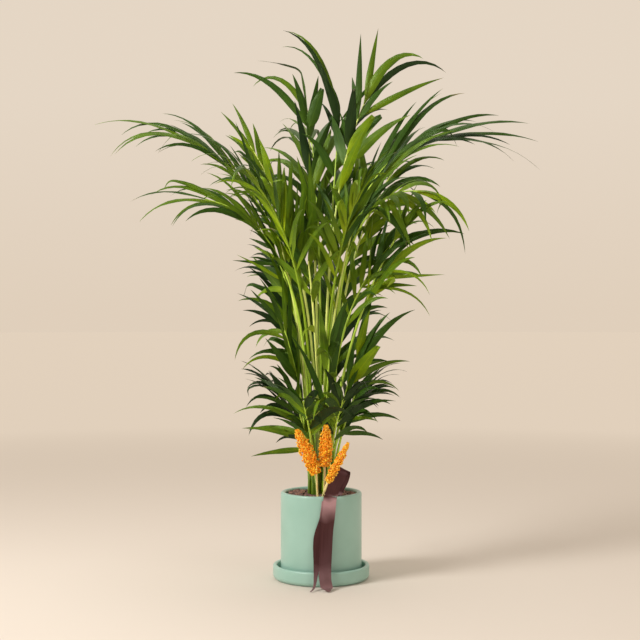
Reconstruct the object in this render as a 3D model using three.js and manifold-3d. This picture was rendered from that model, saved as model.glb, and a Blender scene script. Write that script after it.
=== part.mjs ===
// Areca palm in a glazed pot with its saucer, three orange flower spikes and a satin ribbon.
// Millimetres, +Z up. The origin is the centre of the saucer's flat underside, and the front is -Y.
// Angles are in degrees: a heading turns from +X (right) through +Y (back), a lean tilts from the vertical.

import * as THREE from 'three';
import { mergeVertices } from 'three/addons/utils/BufferGeometryUtils.js';
import Module from 'manifold-3d';

const wasm = await Module();
wasm.setup();

// Driving dimensions of the pot, the saucer and the fill
const GAP = 0.3;
const FILL_GAP = 0.9;
const SAUCER = { radius: 90.5, height: 27, wall: 8, floor: 7, foot: 9, lip: 3 };
const POT = { radius: 76, top: 163, wall: 9, floor: 9, foot: 5, lip: 4 };
const SOIL_TOP = 155;
const STONES = {
  count: 20, size: 7.5, vary: 0.2, shape: [1, 0.85, 0.7], rise: 0.2,
  inner: 34, outer: 57, clear: 12, turn: 137.5,
};
const ROUND_STEPS = 32;

// Driving dimensions of the canes, one in the middle and the rest on a ring round it
const CANE = { radius: 7.6, foot: 8.3, waist: 7.3, waistAt: 0.35, sides: 9, ring: 18 };
const CANES = {
  middle: { heading: 0, ring: 0, height: 44 },
  left: { heading: 178, ring: 1, height: 30 },
  front_left: { heading: 238, ring: 1, height: 26 },
  front_right: { heading: 298, ring: 1, height: 30 },
  right: { heading: 358, ring: 1, height: 34 },
  back_right: { heading: 58, ring: 1, height: 38 },
  back_left: { heading: 118, ring: 1, height: 36 },
};

// Driving dimensions of the stalks and leaflets that every frond shares
const STALK = { foot: 2.6, joint: 2, tip: 1.1, seat: 4.9, bareRings: [0, 0.2, 0.4], leafyRings: 5 };
const STALK_STEPS = 48;
const LEAF_STEPS = 24;
const FOLD_STEPS = 3;
const LEAF = {
  rootWidth: 1.1, rootHeight: 0.7, thickness: 0.0133, neck: 0.28, broadest: 0.28, taper: 1.7,
  ring: 0.46, bentRings: [0.32, 0.68], long: 190, slack: 1.7, clearance: 0.35,
};
const DROOP = { root: 0.25, gain: 2.2 };

// How far a leaflet strays from its frond's figures, and how often one is folded over
const STRAY = {
  place: 0.22, open: 6, lift: 14, length: 0.17, width: 0.2, twist: 24, droop: 0.5,
  fold: 0.08, foldAt: 0.6, foldSpan: 0.2,
};

// Where a pair of leaflets sits in its share of the rachis, and how the middle pairs outgrow the end ones
const PAIR = { lag: 0.3, stagger: 0.25, length: 0.86, longer: 0.2, width: 0.85, wider: 0.25 };

// The ways that a leaflet is tried, in turn, until it is clear of its neighbours
const TRIES = [
  { swing: 0, size: 1 }, { swing: 11, size: 1 }, { swing: -11, size: 1 }, { swing: 22, size: 0.94 },
  { swing: -22, size: 0.94 }, { swing: 6, size: 0.8 }, { swing: -14, size: 0.78 }, { swing: 0, size: 0.62 },
];

// The shape of a frond where its row below gives nothing else
const FROND = {
  power: 1.8, bare: 0.52, pairs: 7, leaf: 150, tipLeaf: 150, width: 14, open: 30, tipOpen: 12,
  lift: 22, droop: 1, roll: 0, foldTurn: -70, tone: 0, blades: [],
};

// The fronds: the cane and the seat on it that the stalk rises from, where it heads, its lean at foot and
// tip, and its length. A blade is a single large leaflet that is set by hand.
const FRONDS = {
  far_left: {
    cane: 'left', seat: 150, heading: 180, lean: [3, 66], power: 2.7, length: 706, bare: 0.6, pairs: 7,
    leaf: 120, tipLeaf: 222, width: 11, open: 16, tipOpen: 6, lift: 30, droop: 0.85, roll: -45,
  },
  second_left: {
    cane: 'left', seat: 294, heading: 192, lean: [3, 86], power: 3.2, length: 604, bare: 0.6, pairs: 6,
    leaf: 120, tipLeaf: 185, width: 11, open: 20, tipOpen: 9, droop: 1.05, roll: -50,
  },
  inner_left: {
    cane: 'middle', seat: 164, heading: 166, lean: [2, 34], power: 2, length: 640, bare: 0.56, pairs: 8,
    leaf: 140, tipLeaf: 110, width: 14, open: 24, tipOpen: 7, droop: 0.4, roll: -60,
    blades: [
      { at: 0.57, lean: -16, depth: -12, length: 190, width: 16, droop: 0.15 },
      { at: 0.62, lean: 4, depth: -10, length: 170, width: 15, droop: 0.2 },
    ],
  },
  tall_left: {
    cane: 'back_left', seat: 20, heading: 104, lean: [2, 18], power: 1.5, length: 728, bare: 0.58, pairs: 3,
    leaf: 160, tipLeaf: 130, width: 19, open: 18, tipOpen: 10, droop: 0.3, tone: 0.7,
    blades: [
      { at: 0.93, lean: -33, depth: 4, length: 196, width: 15, droop: 0.95 },
      { at: 0.97, lean: -30, depth: -8, length: 160, width: 12, droop: 1.9 },
      {
        at: 0.98, lean: -11, depth: 10, length: 176, width: 13, droop: 0.3,
        fold: 0.46, foldTurn: 70, face: 200,
      },
      { at: 0.92, lean: 17, depth: -8, length: 104, width: 26, droop: 0.2, fold: 0.8, foldTurn: 112 },
      { at: 0.78, lean: -10, depth: 12, length: 168, width: 17, droop: 0.25 },
      { at: 0.74, lean: 14, depth: 8, length: 150, width: 18, droop: 0.3, fold: 0.78, foldTurn: 80 },
      { at: 0.55, lean: -3, depth: -6, length: 215, width: 19, droop: 0.08 },
      { at: 0.64, lean: -12, depth: -14, length: 150, width: 16, droop: 0.15 },
    ],
  },
  tall_centre: {
    cane: 'middle', seat: 20, heading: 50, lean: [1, 36], power: 2.6, length: 740, bare: 0.56, pairs: 3,
    leaf: 130, tipLeaf: 110, width: 18, open: 34, tipOpen: 20, droop: 0.5, tone: 0.8,
    blades: [
      { at: 0.93, lean: 2, depth: 0, length: 168, width: 14, droop: 0.05 },
      { at: 0.99, lean: 10, depth: 5, length: 150, width: 14, droop: 0.04 },
      { at: 0.98, lean: 22, depth: -4, length: 168, width: 19, droop: 1.7 },
      { at: 0.99, lean: 36, depth: 6, length: 200, width: 14, droop: 1.4 },
      { at: 0.94, lean: 58, depth: -12, length: 180, width: 14, droop: 0.2 },
      { at: 0.84, lean: 5, depth: -10, length: 132, width: 23, droop: 0.1, fold: 0.82, foldTurn: 115 },
      { at: 0.82, lean: 30, depth: -14, length: 118, width: 22, droop: 0.4, fold: 0.76, foldTurn: 100 },
      { at: 0.86, lean: 46, depth: -18, length: 96, width: 24, droop: 0.3, fold: 0.8, foldTurn: 90 },
      { at: 0.78, lean: 40, depth: -4, length: 168, width: 21, droop: 0.5 },
      { at: 0.72, lean: 20, depth: -16, length: 150, width: 20, droop: 0.3 },
    ],
  },
  tall_back: {
    cane: 'back_right', seat: 164, heading: 70, lean: [2, 16], power: 1.4, length: 700, bare: 0.6, pairs: 3,
    leaf: 120, tipLeaf: 120, width: 15, open: 30, tipOpen: 20, droop: 0.6, tone: 0.6,
    blades: [
      { at: 0.97, lean: -11, depth: 2, length: 226, width: 13, droop: 1.6 },
      { at: 0.95, lean: -14, depth: -6, length: 238, width: 13, droop: 1.6 },
      { at: 0.99, lean: -17, depth: 10, length: 220, width: 8, droop: 1.35 },
      { at: 0.95, lean: -6, depth: -8, length: 110, width: 15, droop: 1.5 },
      { at: 0.98, lean: 38, depth: 12, length: 190, width: 8, droop: 0.25 },
      { at: 0.9, lean: 30, depth: 22, length: 170, width: 12, droop: 0.9 },
    ],
  },
  far_right: {
    cane: 'right', seat: 68, heading: 8, lean: [2, 84], power: 4, length: 714, bare: 0.6, pairs: 9,
    leaf: 150, tipLeaf: 250, width: 12, open: 16, tipOpen: 7, lift: 6, droop: 0.65, roll: 45,
  },
  hanging_right: {
    cane: 'right', seat: 212, heading: -26, lean: [3, 108], power: 4.8, length: 614, bare: 0.64, pairs: 3,
    leaf: 130, tipLeaf: 90, width: 14, open: 40, tipOpen: 30, droop: 1.6, roll: 30,
    blades: [
      { at: 0.86, lean: 128, depth: -20, length: 100, width: 13, droop: 0.9 },
      { at: 0.9, lean: 150, depth: -14, length: 112, width: 13, droop: 0.5 },
      { at: 0.93, lean: 122, depth: -24, length: 122, width: 12, droop: 1.2 },
      { at: 0.95, lean: 118, depth: 10, length: 128, width: 12, droop: 0.7 },
      { at: 0.98, lean: 96, depth: -10, length: 138, width: 13, droop: 1.2 },
      { at: 0.99, lean: 100, depth: 16, length: 165, width: 8, droop: 1.9 },
      { at: 0.84, lean: 108, depth: 24, length: 110, width: 11, droop: 1.2 },
    ],
  },
  broad_right: {
    cane: 'back_right', seat: 308, heading: 18, lean: [3, 36], power: 2.2, length: 600, bare: 0.58, pairs: 6,
    leaf: 150, tipLeaf: 160, width: 17, open: 32, tipOpen: 16, droop: 1, roll: 55,
  },
  reach_right: {
    cane: 'front_right', seat: 92, heading: -4, lean: [3, 44], power: 2.2, length: 462, bare: 0.6, pairs: 4,
    leaf: 125, tipLeaf: 130, width: 13, open: 34, tipOpen: 16, droop: 1.2, roll: 45,
    blades: [
      { at: 0.97, lean: 58, depth: -6, length: 158, width: 15, droop: 0.7 },
      { at: 0.86, lean: 48, depth: -18, length: 128, width: 14, droop: 1.7 },
      { at: 0.8, lean: 84, depth: -30, length: 116, width: 11, droop: 0.15 },
    ],
  },
  front_left: {
    cane: 'front_left', seat: 200, heading: 226, lean: [2, 50], power: 2.6, length: 580, bare: 0.66, pairs: 5,
    leaf: 140, tipLeaf: 180, width: 12, open: 34, tipOpen: 14, droop: 1.2, roll: -20,
  },
  front_right: {
    cane: 'front_right', seat: 164, heading: 300, lean: [2, 44], power: 2.4, length: 560, bare: 0.66,
    pairs: 5, leaf: 135, tipLeaf: 140, width: 14, open: 32, tipOpen: 14, droop: 1.2, roll: 20,
  },
  column_left: {
    cane: 'left', seat: 78, heading: 200, lean: [3, 18], power: 1.6, length: 470, bare: 0.7, pairs: 3,
    leaf: 120, tipLeaf: 110, width: 13, open: 26, tipOpen: 12, droop: 0.8, roll: -50,
  },
  column_mid: {
    cane: 'middle', seat: 308, heading: 330, lean: [2, 18], power: 1.6, length: 460, bare: 0.62, pairs: 3,
    leaf: 150, tipLeaf: 130, width: 17, open: 28, tipOpen: 12, droop: 0.7,
  },
  column_right: {
    cane: 'front_right', seat: 20, heading: -14, lean: [5, 33], power: 1.3, length: 506, bare: 0.6, pairs: 3,
    leaf: 165, tipLeaf: 130, width: 17, open: 24, tipOpen: 12, droop: 0.7, roll: 50,
    blades: [
      { at: 0.74, lean: 40, depth: -8, length: 170, width: 17, droop: 0.75 },
      { at: 0.76, lean: 66, depth: 28, length: 112, width: 10, droop: 0.55 },
      { at: 0.77, lean: 83, depth: -4, length: 130, width: 8, droop: 0.04 },
      { at: 0.79, lean: 74, depth: -26, length: 120, width: 6, droop: 1.3 },
      { at: 0.73, lean: 84, depth: 12, length: 136, width: 6, droop: 1.15 },
      { at: 0.69, lean: 48, depth: -30, length: 112, width: 14, droop: 0.3, fold: 0.6, foldTurn: 100 },
    ],
  },
  column_front: {
    cane: 'middle', seat: 236, heading: 250, lean: [3, 20], power: 1.8, length: 400, bare: 0.8, pairs: 2,
    leaf: 115, tipLeaf: 110, width: 15, open: 40, tipOpen: 12, droop: 0.8,
    blades: [
      { at: 0.55, lean: 34, depth: -70, length: 150, width: 15, droop: 0.7 },
      { at: 0.66, lean: -32, depth: -72, length: 145, width: 15, droop: 0.8 },
      { at: 0.8, lean: 10, depth: -60, length: 150, width: 15, droop: 0.6 },
    ],
  },
  shoulder_left: {
    cane: 'left', seat: 222, heading: 196, lean: [4, 19], power: 1.3, length: 305, bare: 0.45, pairs: 2,
    leaf: 130, tipLeaf: 130, width: 16, open: 22, tipOpen: 12, droop: 0.6, roll: -45,
    blades: [
      { at: 0.98, lean: -48, depth: 14, length: 108, width: 8, droop: 0.35 },
      { at: 0.95, lean: -38, depth: -24, length: 104, width: 10, droop: 0.1 },
      { at: 0.97, lean: -68, depth: -30, length: 74, width: 7, droop: 0.9 },
      { at: 0.92, lean: -74, depth: 26, length: 80, width: 12, droop: 1.5 },
      { at: 0.87, lean: -58, depth: -6, length: 132, width: 10, droop: 2.1 },
      { at: 0.8, lean: -80, depth: -38, length: 72, width: 8, droop: 0.2 },
      { at: 0.7, lean: -56, depth: -22, length: 118, width: 9, droop: 1.2 },
      { at: 0.6, lean: -30, depth: -34, length: 130, width: 17, droop: 0.2 },
    ],
  },
  shoulder_high_left: {
    cane: 'back_left', seat: 232, heading: 172, lean: [3, 22], power: 1.5, length: 440, bare: 0.58, pairs: 2,
    leaf: 150, tipLeaf: 130, width: 14, open: 18, tipOpen: 10, droop: 0.4, roll: -50,
    blades: [
      { at: 0.99, lean: -62, depth: 24, length: 62, width: 8, droop: 0.1 },
      { at: 0.94, lean: -56, depth: 30, length: 66, width: 9, droop: 0.15 },
      { at: 0.92, lean: -84, depth: -4, length: 92, width: 8, droop: 0.02 },
      { at: 0.84, lean: -58, depth: -10, length: 108, width: 7, droop: 0.1 },
      { at: 0.74, lean: -37, depth: 18, length: 130, width: 18, droop: 0.15 },
      { at: 0.8, lean: -66, depth: 34, length: 82, width: 12, droop: 1.0 },
    ],
  },
  shoulder_right: {
    cane: 'right', seat: 284, heading: -10, lean: [6, 22], power: 1.2, length: 262, bare: 0.5, pairs: 2,
    leaf: 150, tipLeaf: 150, width: 18, open: 18, tipOpen: 10, droop: 0.5, roll: 45,
    blades: [
      { at: 0.74, lean: 27, depth: -8, length: 178, width: 18, droop: 0.75 },
      { at: 0.66, lean: 32, depth: -26, length: 128, width: 26, droop: 0.25, fold: 0.82, foldTurn: 95 },
      { at: 0.8, lean: 72, depth: 30, length: 72, width: 9, droop: 0.2 },
      { at: 0.68, lean: 54, depth: 14, length: 134, width: 13, droop: 0.6 },
      { at: 0.6, lean: 56, depth: 22, length: 126, width: 9, droop: 1.05 },
      { at: 0.88, lean: 12, depth: -34, length: 120, width: 16, droop: 0.2 },
    ],
  },
  shoulder_front: {
    cane: 'front_right', seat: 236, heading: 284, lean: [4, 18], power: 1.4, length: 250, bare: 0.4, pairs: 2,
    leaf: 150, tipLeaf: 140, width: 17, open: 16, tipOpen: 10, droop: 0.5,
    blades: [
      { at: 0.76, lean: 30, depth: -68, length: 150, width: 15, droop: 0.8 },
      { at: 0.6, lean: -36, depth: -72, length: 140, width: 15, droop: 0.9 },
      { at: 0.92, lean: 12, depth: -58, length: 145, width: 15, droop: 0.7 },
    ],
  },
  skirt_left: {
    cane: 'front_left', seat: 128, heading: 190, lean: [8, 20], power: 1, length: 185, bare: 0.3, pairs: 2,
    leaf: 80, tipLeaf: 90, width: 13, open: 30, tipOpen: 18, droop: 0.8, roll: -45,
    blades: [
      { at: 0.76, lean: -36, depth: -4, length: 92, width: 16, droop: 0.1 },
      { at: 0.82, lean: -52, depth: 26, length: 108, width: 12, droop: 0.3 },
      { at: 0.7, lean: -50, depth: -28, length: 118, width: 10, droop: 0.65 },
      { at: 0.64, lean: -62, depth: 4, length: 136, width: 9, droop: 0.8 },
      { at: 0.6, lean: -58, depth: -34, length: 112, width: 10, droop: 0.15 },
      { at: 0.5, lean: -76, depth: 22, length: 122, width: 11, droop: 0.4 },
      { at: 0.44, lean: -70, depth: -12, length: 126, width: 12, droop: 0.3 },
      { at: 0.34, lean: -92, depth: -6, length: 110, width: 12, droop: 0.15 },
    ],
  },
  skirt_right: {
    cane: 'right', seat: 356, heading: -8, lean: [8, 23], power: 1.1, length: 165, bare: 0.34, pairs: 2,
    leaf: 80, tipLeaf: 90, width: 13, open: 30, tipOpen: 18, droop: 0.8, roll: 40,
    blades: [
      { at: 0.74, lean: 58, depth: -22, length: 104, width: 10, droop: 0.5 },
      { at: 0.62, lean: 66, depth: 16, length: 118, width: 12, droop: 0.75 },
      { at: 0.68, lean: 76, depth: -36, length: 74, width: 8, droop: 0.4 },
      { at: 0.88, lean: 34, depth: 4, length: 84, width: 14, droop: 0.3 },
      { at: 0.5, lean: 84, depth: 26, length: 92, width: 10, droop: 0.5 },
    ],
  },
  skirt_front_left: {
    cane: 'front_left', seat: 272, heading: 244, lean: [9, 30], power: 1, length: 165, bare: 0.42, pairs: 4,
    leaf: 105, tipLeaf: 95, width: 15, open: 52, tipOpen: 24, lift: 12, droop: 1,
  },
  skirt_front_right: {
    cane: 'front_right', seat: 308, heading: 304, lean: [9, 28], power: 1, length: 165, bare: 0.42, pairs: 4,
    leaf: 105, tipLeaf: 95, width: 15, open: 48, tipOpen: 24, lift: 12, droop: 1,
  },
  back_left: {
    cane: 'back_left', seat: 304, heading: 126, lean: [3, 52], power: 2.2, length: 600, bare: 0.56, pairs: 7,
    leaf: 150, tipLeaf: 180, width: 15, open: 34, tipOpen: 14, droop: 1.1,
  },
  back_mid: {
    cane: 'middle', seat: 92, heading: 96, lean: [2, 56], power: 2.6, length: 700, bare: 0.58, pairs: 8,
    leaf: 160, tipLeaf: 190, width: 15, open: 34, tipOpen: 14, droop: 1.1,
  },
  back_right: {
    cane: 'back_right', seat: 236, heading: 66, lean: [3, 50], power: 2.2, length: 610, bare: 0.56, pairs: 7,
    leaf: 150, tipLeaf: 180, width: 15, open: 34, tipOpen: 14, droop: 1.1,
  },
  back_low_left: {
    cane: 'back_left', seat: 88, heading: 118, lean: [6, 40], power: 1.5, length: 400, bare: 0.36, pairs: 8,
    leaf: 160, tipLeaf: 160, width: 17, open: 36, tipOpen: 16, droop: 1.1,
  },
  back_low_right: {
    cane: 'back_right', seat: 92, heading: 80, lean: [6, 40], power: 1.5, length: 385, bare: 0.36, pairs: 8,
    leaf: 160, tipLeaf: 160, width: 17, open: 36, tipOpen: 16, droop: 1.1,
  },
  skirt_back_left: {
    cane: 'back_left', seat: 160, heading: 150, lean: [12, 44], power: 1, length: 175, bare: 0.45, pairs: 6,
    leaf: 120, tipLeaf: 110, width: 15, open: 46, tipOpen: 20, droop: 1.2,
  },
  skirt_back_right: {
    cane: 'back_right', seat: 20, heading: 34, lean: [12, 44], power: 1, length: 175, bare: 0.45, pairs: 6,
    leaf: 120, tipLeaf: 110, width: 15, open: 46, tipOpen: 20, droop: 1.2,
  },
};

// Driving dimensions of the flower spikes: foot on the fill, ends of the spindle of buds, and its girth
const SPIKE = {
  stem: 1.7, bud: 4.2, sink: 0.7, rows: 5, firstRow: 0.6, round: 4, sides: 5,
  rings: [0.04, 0.3, 0.6, 0.85], ends: [0.22, 0.94], fullness: 0.8,
};
const SPIKES = {
  left: { foot: [-6.5, -54], base: [-9, -61, 204], tip: [-44, -62, 284], girth: 30 },
  centre: { foot: [6, -54.5], base: [6.5, -57, 217], tip: [9.5, -54, 292], girth: 28 },
  right: { foot: [0, -59.5], base: [12, -84, 192], tip: [49, -83, 262], girth: 19 },
};

// Driving dimensions of the satin ribbon. Each run gives where its middle goes, the way that its width lies
// there, and the share of the full width that it has. A level start is cut to stand on the pot's rim.
const RIBBON = { width: 24, thickness: 0.9, steps: 3 };
const RIBBON_RUNS = {
  ribbon_loop: [
    { at: [17.5, -69.6, 163.35], across: [1, 0.12, 0.02], level: true },
    { at: [22, -68.5, 178], across: [1, 0.1, -0.1] },
    { at: [30, -67, 195], across: [1, 0.1, -0.3] },
    { at: [37, -64, 208], across: [1, 0.05, -0.5] },
    { at: [40.5, -59, 211], across: [1, 0, -0.55] },
    { at: [42, -53, 206], across: [1, 0, -0.5] },
    { at: [39, -49, 192], across: [1, 0, -0.35] },
    { at: [32, -48, 178], across: [1, 0, -0.2] },
    { at: [26, -49, 166], across: [1, 0, -0.1] },
  ],
  ribbon_front_tail: [
    { at: [17, -73.2, 163.7], across: [1, 0.1, 0] },
    { at: [16, -77.6, 160], across: [1, 0.15, 0] },
    { at: [15, -79, 150], across: [1, 0.12, 0] },
    { at: [13, -81.5, 128], across: [1, 0.14, 0] },
    { at: [10, -84, 104], across: [1, 0.16, 0] },
    { at: [8.5, -88, 80], across: [0.98, 0.2, 0] },
    { at: [7.5, -94, 54], across: [0.94, 0.34, 0] },
    { at: [7, -101.5, 32], across: [0.88, 0.46, 0] },
    { at: [7.5, -110, 17], across: [0.86, 0.46, 0] },
    { at: [10, -119, 7], across: [0.86, 0.45, 0] },
    { at: [14, -130, 2], across: [0.9, 0.4, 0], share: 0.12 },
  ],
  ribbon_back_tail: [
    { at: [13, -76.95, 154], across: [1, 0.16, 0] },
    { at: [11, -77.8, 138], across: [1, 0.12, 0] },
    { at: [8, -78.4, 120], across: [1, 0.08, 0] },
    { at: [2.5, -78.6, 104], across: [1, 0, 0] },
    { at: [-2, -79.6, 88], across: [1, -0.06, 0] },
    { at: [-3.5, -82, 70], across: [1, -0.1, 0], share: 0.96 },
    { at: [-5, -86, 54], across: [1, -0.1, 0], share: 0.8 },
    { at: [-8, -92, 38], across: [1, -0.1, 0], share: 0.5 },
    { at: [-10, -100, 24], across: [1, -0.1, 0], share: 0.3 },
    { at: [-11.5, -110, 12], across: [1, -0.1, 0], share: 0.2 },
    { at: [-14, -120, 5], across: [1, -0.1, 0], share: 0.14 },
    { at: [-19, -131, 2], across: [1, -0.2, 0], share: 0.1 },
  ],
};

// Colours
const COLOUR = {
  glaze: 0xa6cdb4, stones: 0x6b4a44, cane: 0x4f6a24, frond: 0x3f6b22, bright: 0x7da52a,
  bud: 0xf58a1c, satin: 0x4b2a33,
};

const rad = THREE.MathUtils.degToRad;

// A repeatable number from 0 to 1 for a seed, and one from -1 to 1
function chance(seed) {
  const x = Math.sin(seed * 12.9898 + 4.1414) * 43758.5453;
  return x - Math.floor(x);
}

function swing(seed) {
  return 2 * chance(seed) - 1;
}

function mix(a, b, t) {
  return a + (b - a) * t;
}

// Solids and meshes

// A closed solid from a list of points and the triangles between them
function solid(points, triangles) {
  const vertProperties = new Float32Array(points.flatMap((p) => [p.x, p.y, p.z]));
  const triVerts = new Uint32Array(triangles.flat());
  return new wasm.Manifold(new wasm.Mesh({ numProp: 3, vertProperties, triVerts }));
}

// The same from a three.js geometry
function solidOf(geometry) {
  const bare = geometry.index ? geometry.toNonIndexed() : geometry.clone();
  bare.deleteAttribute('normal');
  bare.deleteAttribute('uv');
  const merged = mergeVertices(bare, 1e-4);
  const vertProperties = new Float32Array(merged.attributes.position.array);
  return new wasm.Manifold(new wasm.Mesh({ numProp: 3, vertProperties, triVerts: merged.index.array }));
}

// The largest body of a solid, without the loose scraps and the sealed hollows that joining leaves
function largestBody(joined) {
  return joined.decompose().reduce((best, piece) => (piece.volume() > best.volume() ? piece : best));
}

function join(solids) {
  return largestBody(wasm.Manifold.union(solids).simplify(0.02));
}

function meshOf(name, body, colour, roughness = 0.6) {
  const { vertProperties, triVerts } = body.getMesh();
  const geometry = new THREE.BufferGeometry();
  geometry.setAttribute('position', new THREE.BufferAttribute(vertProperties, 3));
  geometry.setIndex(new THREE.BufferAttribute(triVerts, 1));
  geometry.computeVertexNormals();
  const mesh = new THREE.Mesh(geometry, new THREE.MeshStandardMaterial({ color: colour, roughness }));
  mesh.name = name;
  return mesh;
}

// A closed body skinned over rings that all have the same number of points, with flat ends or pointed ones
function skin(rings) {
  const points = [];
  const starts = rings.map((ring) => {
    const start = points.length;
    points.push(...ring);
    return start;
  });
  const triangles = [];
  for (let i = 0; i + 1 < rings.length; i += 1) {
    const [a, b] = [starts[i], starts[i + 1]];
    const [na, nb] = [rings[i].length, rings[i + 1].length];
    const n = Math.max(na, nb);
    for (let k = 0; k < n; k += 1) {
      const next = (k + 1) % n;
      if (na === 1) triangles.push([a, b + next, b + k]);
      else if (nb === 1) triangles.push([a + k, a + next, b]);
      else triangles.push([a + k, a + next, b + next], [a + k, b + next, b + k]);
    }
  }
  const last = rings.length - 1;
  for (let k = 1; k + 1 < rings[0].length; k += 1) {
    triangles.push([starts[0], starts[0] + k + 1, starts[0] + k]);
  }
  for (let k = 1; k + 1 < rings[last].length; k += 1) {
    triangles.push([starts[last], starts[last] + k, starts[last] + k + 1]);
  }
  return solid(points, triangles);
}

// A ring of points round a centre, in the plane of two unit vectors, turning from u to v
function ringAt(centre, u, v, radius, sides, turn = 0) {
  return Array.from({ length: sides }, (_, k) => {
    const a = turn + (2 * Math.PI * k) / sides;
    return centre.clone().addScaledVector(u, radius * Math.cos(a)).addScaledVector(v, radius * Math.sin(a));
  });
}

// A quarter round of a lathe profile, from one angle to another about its centre
function arc(profile, x, z, radius, from, to, steps = 2) {
  for (let i = 0; i <= steps; i += 1) {
    const a = rad(mix(from, to, i / steps));
    profile.push(new THREE.Vector2(x + radius * Math.cos(a), z + radius * Math.sin(a)));
  }
}

// A profile of radius and height turned about the Z axis
function turned(profile) {
  return solidOf(new THREE.LatheGeometry(profile, ROUND_STEPS).rotateX(Math.PI / 2));
}

// Pot, saucer and fill

function saucer() {
  const { radius, height, wall, floor, foot, lip } = SAUCER;
  const profile = [new THREE.Vector2(0, 0)];
  arc(profile, radius - foot, foot, foot, -90, 0);
  arc(profile, radius - lip, height - lip, lip, 0, 90);
  arc(profile, radius - wall + lip, height - lip, lip, 90, 180);
  arc(profile, radius - wall - lip, floor + lip, lip, 0, -90);
  profile.push(new THREE.Vector2(0, floor));
  return turned(profile);
}

function pot() {
  const { radius, top, wall, floor, foot, lip } = POT;
  const under = SAUCER.floor + GAP;
  const profile = [new THREE.Vector2(0, under)];
  arc(profile, radius - foot, under + foot, foot, -90, 0);
  arc(profile, radius - lip, top - lip, lip, 0, 90);
  arc(profile, radius - wall + lip, top - lip, lip, 90, 180);
  profile.push(new THREE.Vector2(radius - wall, under + floor), new THREE.Vector2(0, under + floor));
  return turned(profile);
}

// The fill of the pot, with a flat top for the canes and a scatter of stones near the wall
function fill() {
  const reach = POT.radius - POT.wall - FILL_GAP;
  const bottom = SAUCER.floor + POT.floor + 2 * GAP;
  const pieces = [turned([
    new THREE.Vector2(0, bottom), new THREE.Vector2(reach, bottom),
    new THREE.Vector2(reach, SOIL_TOP), new THREE.Vector2(0, SOIL_TOP),
  ])];
  for (let i = 0; i < STONES.count; i += 1) {
    const heading = rad(i * STONES.turn);
    const out = mix(STONES.inner, STONES.outer, Math.sqrt((i + 0.5) / STONES.count));
    const spot = new THREE.Vector3(out * Math.cos(heading), out * Math.sin(heading), SOIL_TOP);
    const feet = Object.values(SPIKES).map(({ foot }) => Math.hypot(spot.x - foot[0], spot.y - foot[1]));
    if (Math.min(...feet) < STONES.clear) continue;
    const size = STONES.size * (1 + STONES.vary * swing(i));
    const stone = new THREE.OctahedronGeometry(size, 0).scale(...STONES.shape);
    stone.rotateZ(i).translate(spot.x, spot.y, spot.z + STONES.rise * size);
    pieces.push(solidOf(stone));
  }
  return join(pieces);
}

// Canes

function caneCentre(name) {
  const { heading, ring } = CANES[name];
  return new THREE.Vector2(Math.cos(rad(heading)), Math.sin(rad(heading))).multiplyScalar(ring * CANE.ring);
}

// A short cane, wider at its foot, that ends in a flat top
function cane(name) {
  const { x, y } = caneCentre(name);
  const bottom = SOIL_TOP + GAP;
  const top = SOIL_TOP + CANES[name].height;
  const stations = [[bottom, CANE.foot], [mix(bottom, top, CANE.waistAt), CANE.waist], [top, CANE.radius]];
  const [right, back] = [new THREE.Vector3(1, 0, 0), new THREE.Vector3(0, 1, 0)];
  const rings = stations.map(([z, radius]) => (
    ringAt(new THREE.Vector3(x, y, z), right, back, radius, CANE.sides)));
  return skin(rings);
}

// Fronds

const UP = new THREE.Vector3(0, 0, 1);
const DOWN = new THREE.Vector3(0, 0, -1);
const FRONT = new THREE.Vector3(0, -1, 0);
const FRONT_HEADING = 270;

// The part of a vector square to a unit direction, and the same at unit length
function partSquareTo(direction, vector) {
  return vector.clone().addScaledVector(direction, -vector.dot(direction));
}

function squareTo(direction, vector) {
  return partSquareTo(direction, vector).normalize();
}

// The stalk's centre line: points, directions and the level side directions, at equal steps
function stalkPath(frond) {
  const centre = caneCentre(frond.cane);
  const seat = rad(frond.seat);
  const heading = rad(frond.heading);
  const out = new THREE.Vector3(Math.cos(heading), Math.sin(heading), 0);
  const side = new THREE.Vector3(-Math.sin(heading), Math.cos(heading), 0);
  const point = new THREE.Vector3(
    centre.x + STALK.seat * Math.cos(seat),
    centre.y + STALK.seat * Math.sin(seat),
    SOIL_TOP + CANES[frond.cane].height + GAP,
  );
  const path = [];
  for (let k = 0; k <= STALK_STEPS; k += 1) {
    const t = k / STALK_STEPS;
    const lean = rad(mix(frond.lean[0], frond.lean[1], t ** frond.power));
    const along = out.clone().multiplyScalar(Math.sin(lean)).addScaledVector(UP, Math.cos(lean));
    path.push({ point: point.clone(), along, side });
    point.addScaledVector(along, frond.length / STALK_STEPS);
  }
  return path;
}

function stalkAt(path, share) {
  const x = share * STALK_STEPS;
  const i = Math.min(Math.floor(x), STALK_STEPS - 1);
  const [a, b] = [path[i], path[i + 1]];
  return {
    point: a.point.clone().lerp(b.point, x - i),
    along: a.along.clone().lerp(b.along, x - i).normalize(),
    side: a.side,
  };
}

function stalkRadius(frond, share) {
  if (share < frond.bare) return mix(STALK.foot, STALK.joint, share / frond.bare);
  return mix(STALK.joint, STALK.tip, (share - frond.bare) / (1 - frond.bare));
}

// The stalk as a three-sided tapering limb with a level foot
function stalk(frond, path) {
  const shares = [...STALK.bareRings.filter((share) => share < frond.bare), frond.bare];
  for (let k = 1; k <= STALK.leafyRings; k += 1) shares.push(mix(frond.bare, 1, k / STALK.leafyRings));
  const rings = shares.map((share) => {
    const at = stalkAt(path, share);
    const across = share === 0 ? squareTo(UP, at.side) : at.side;
    const normal = share === 0 ? UP.clone().cross(across) : at.along.clone().cross(across);
    return ringAt(at.point, across, normal, stalkRadius(frond, share), 3, Math.PI / 6);
  });
  return skin(rings);
}

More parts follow.
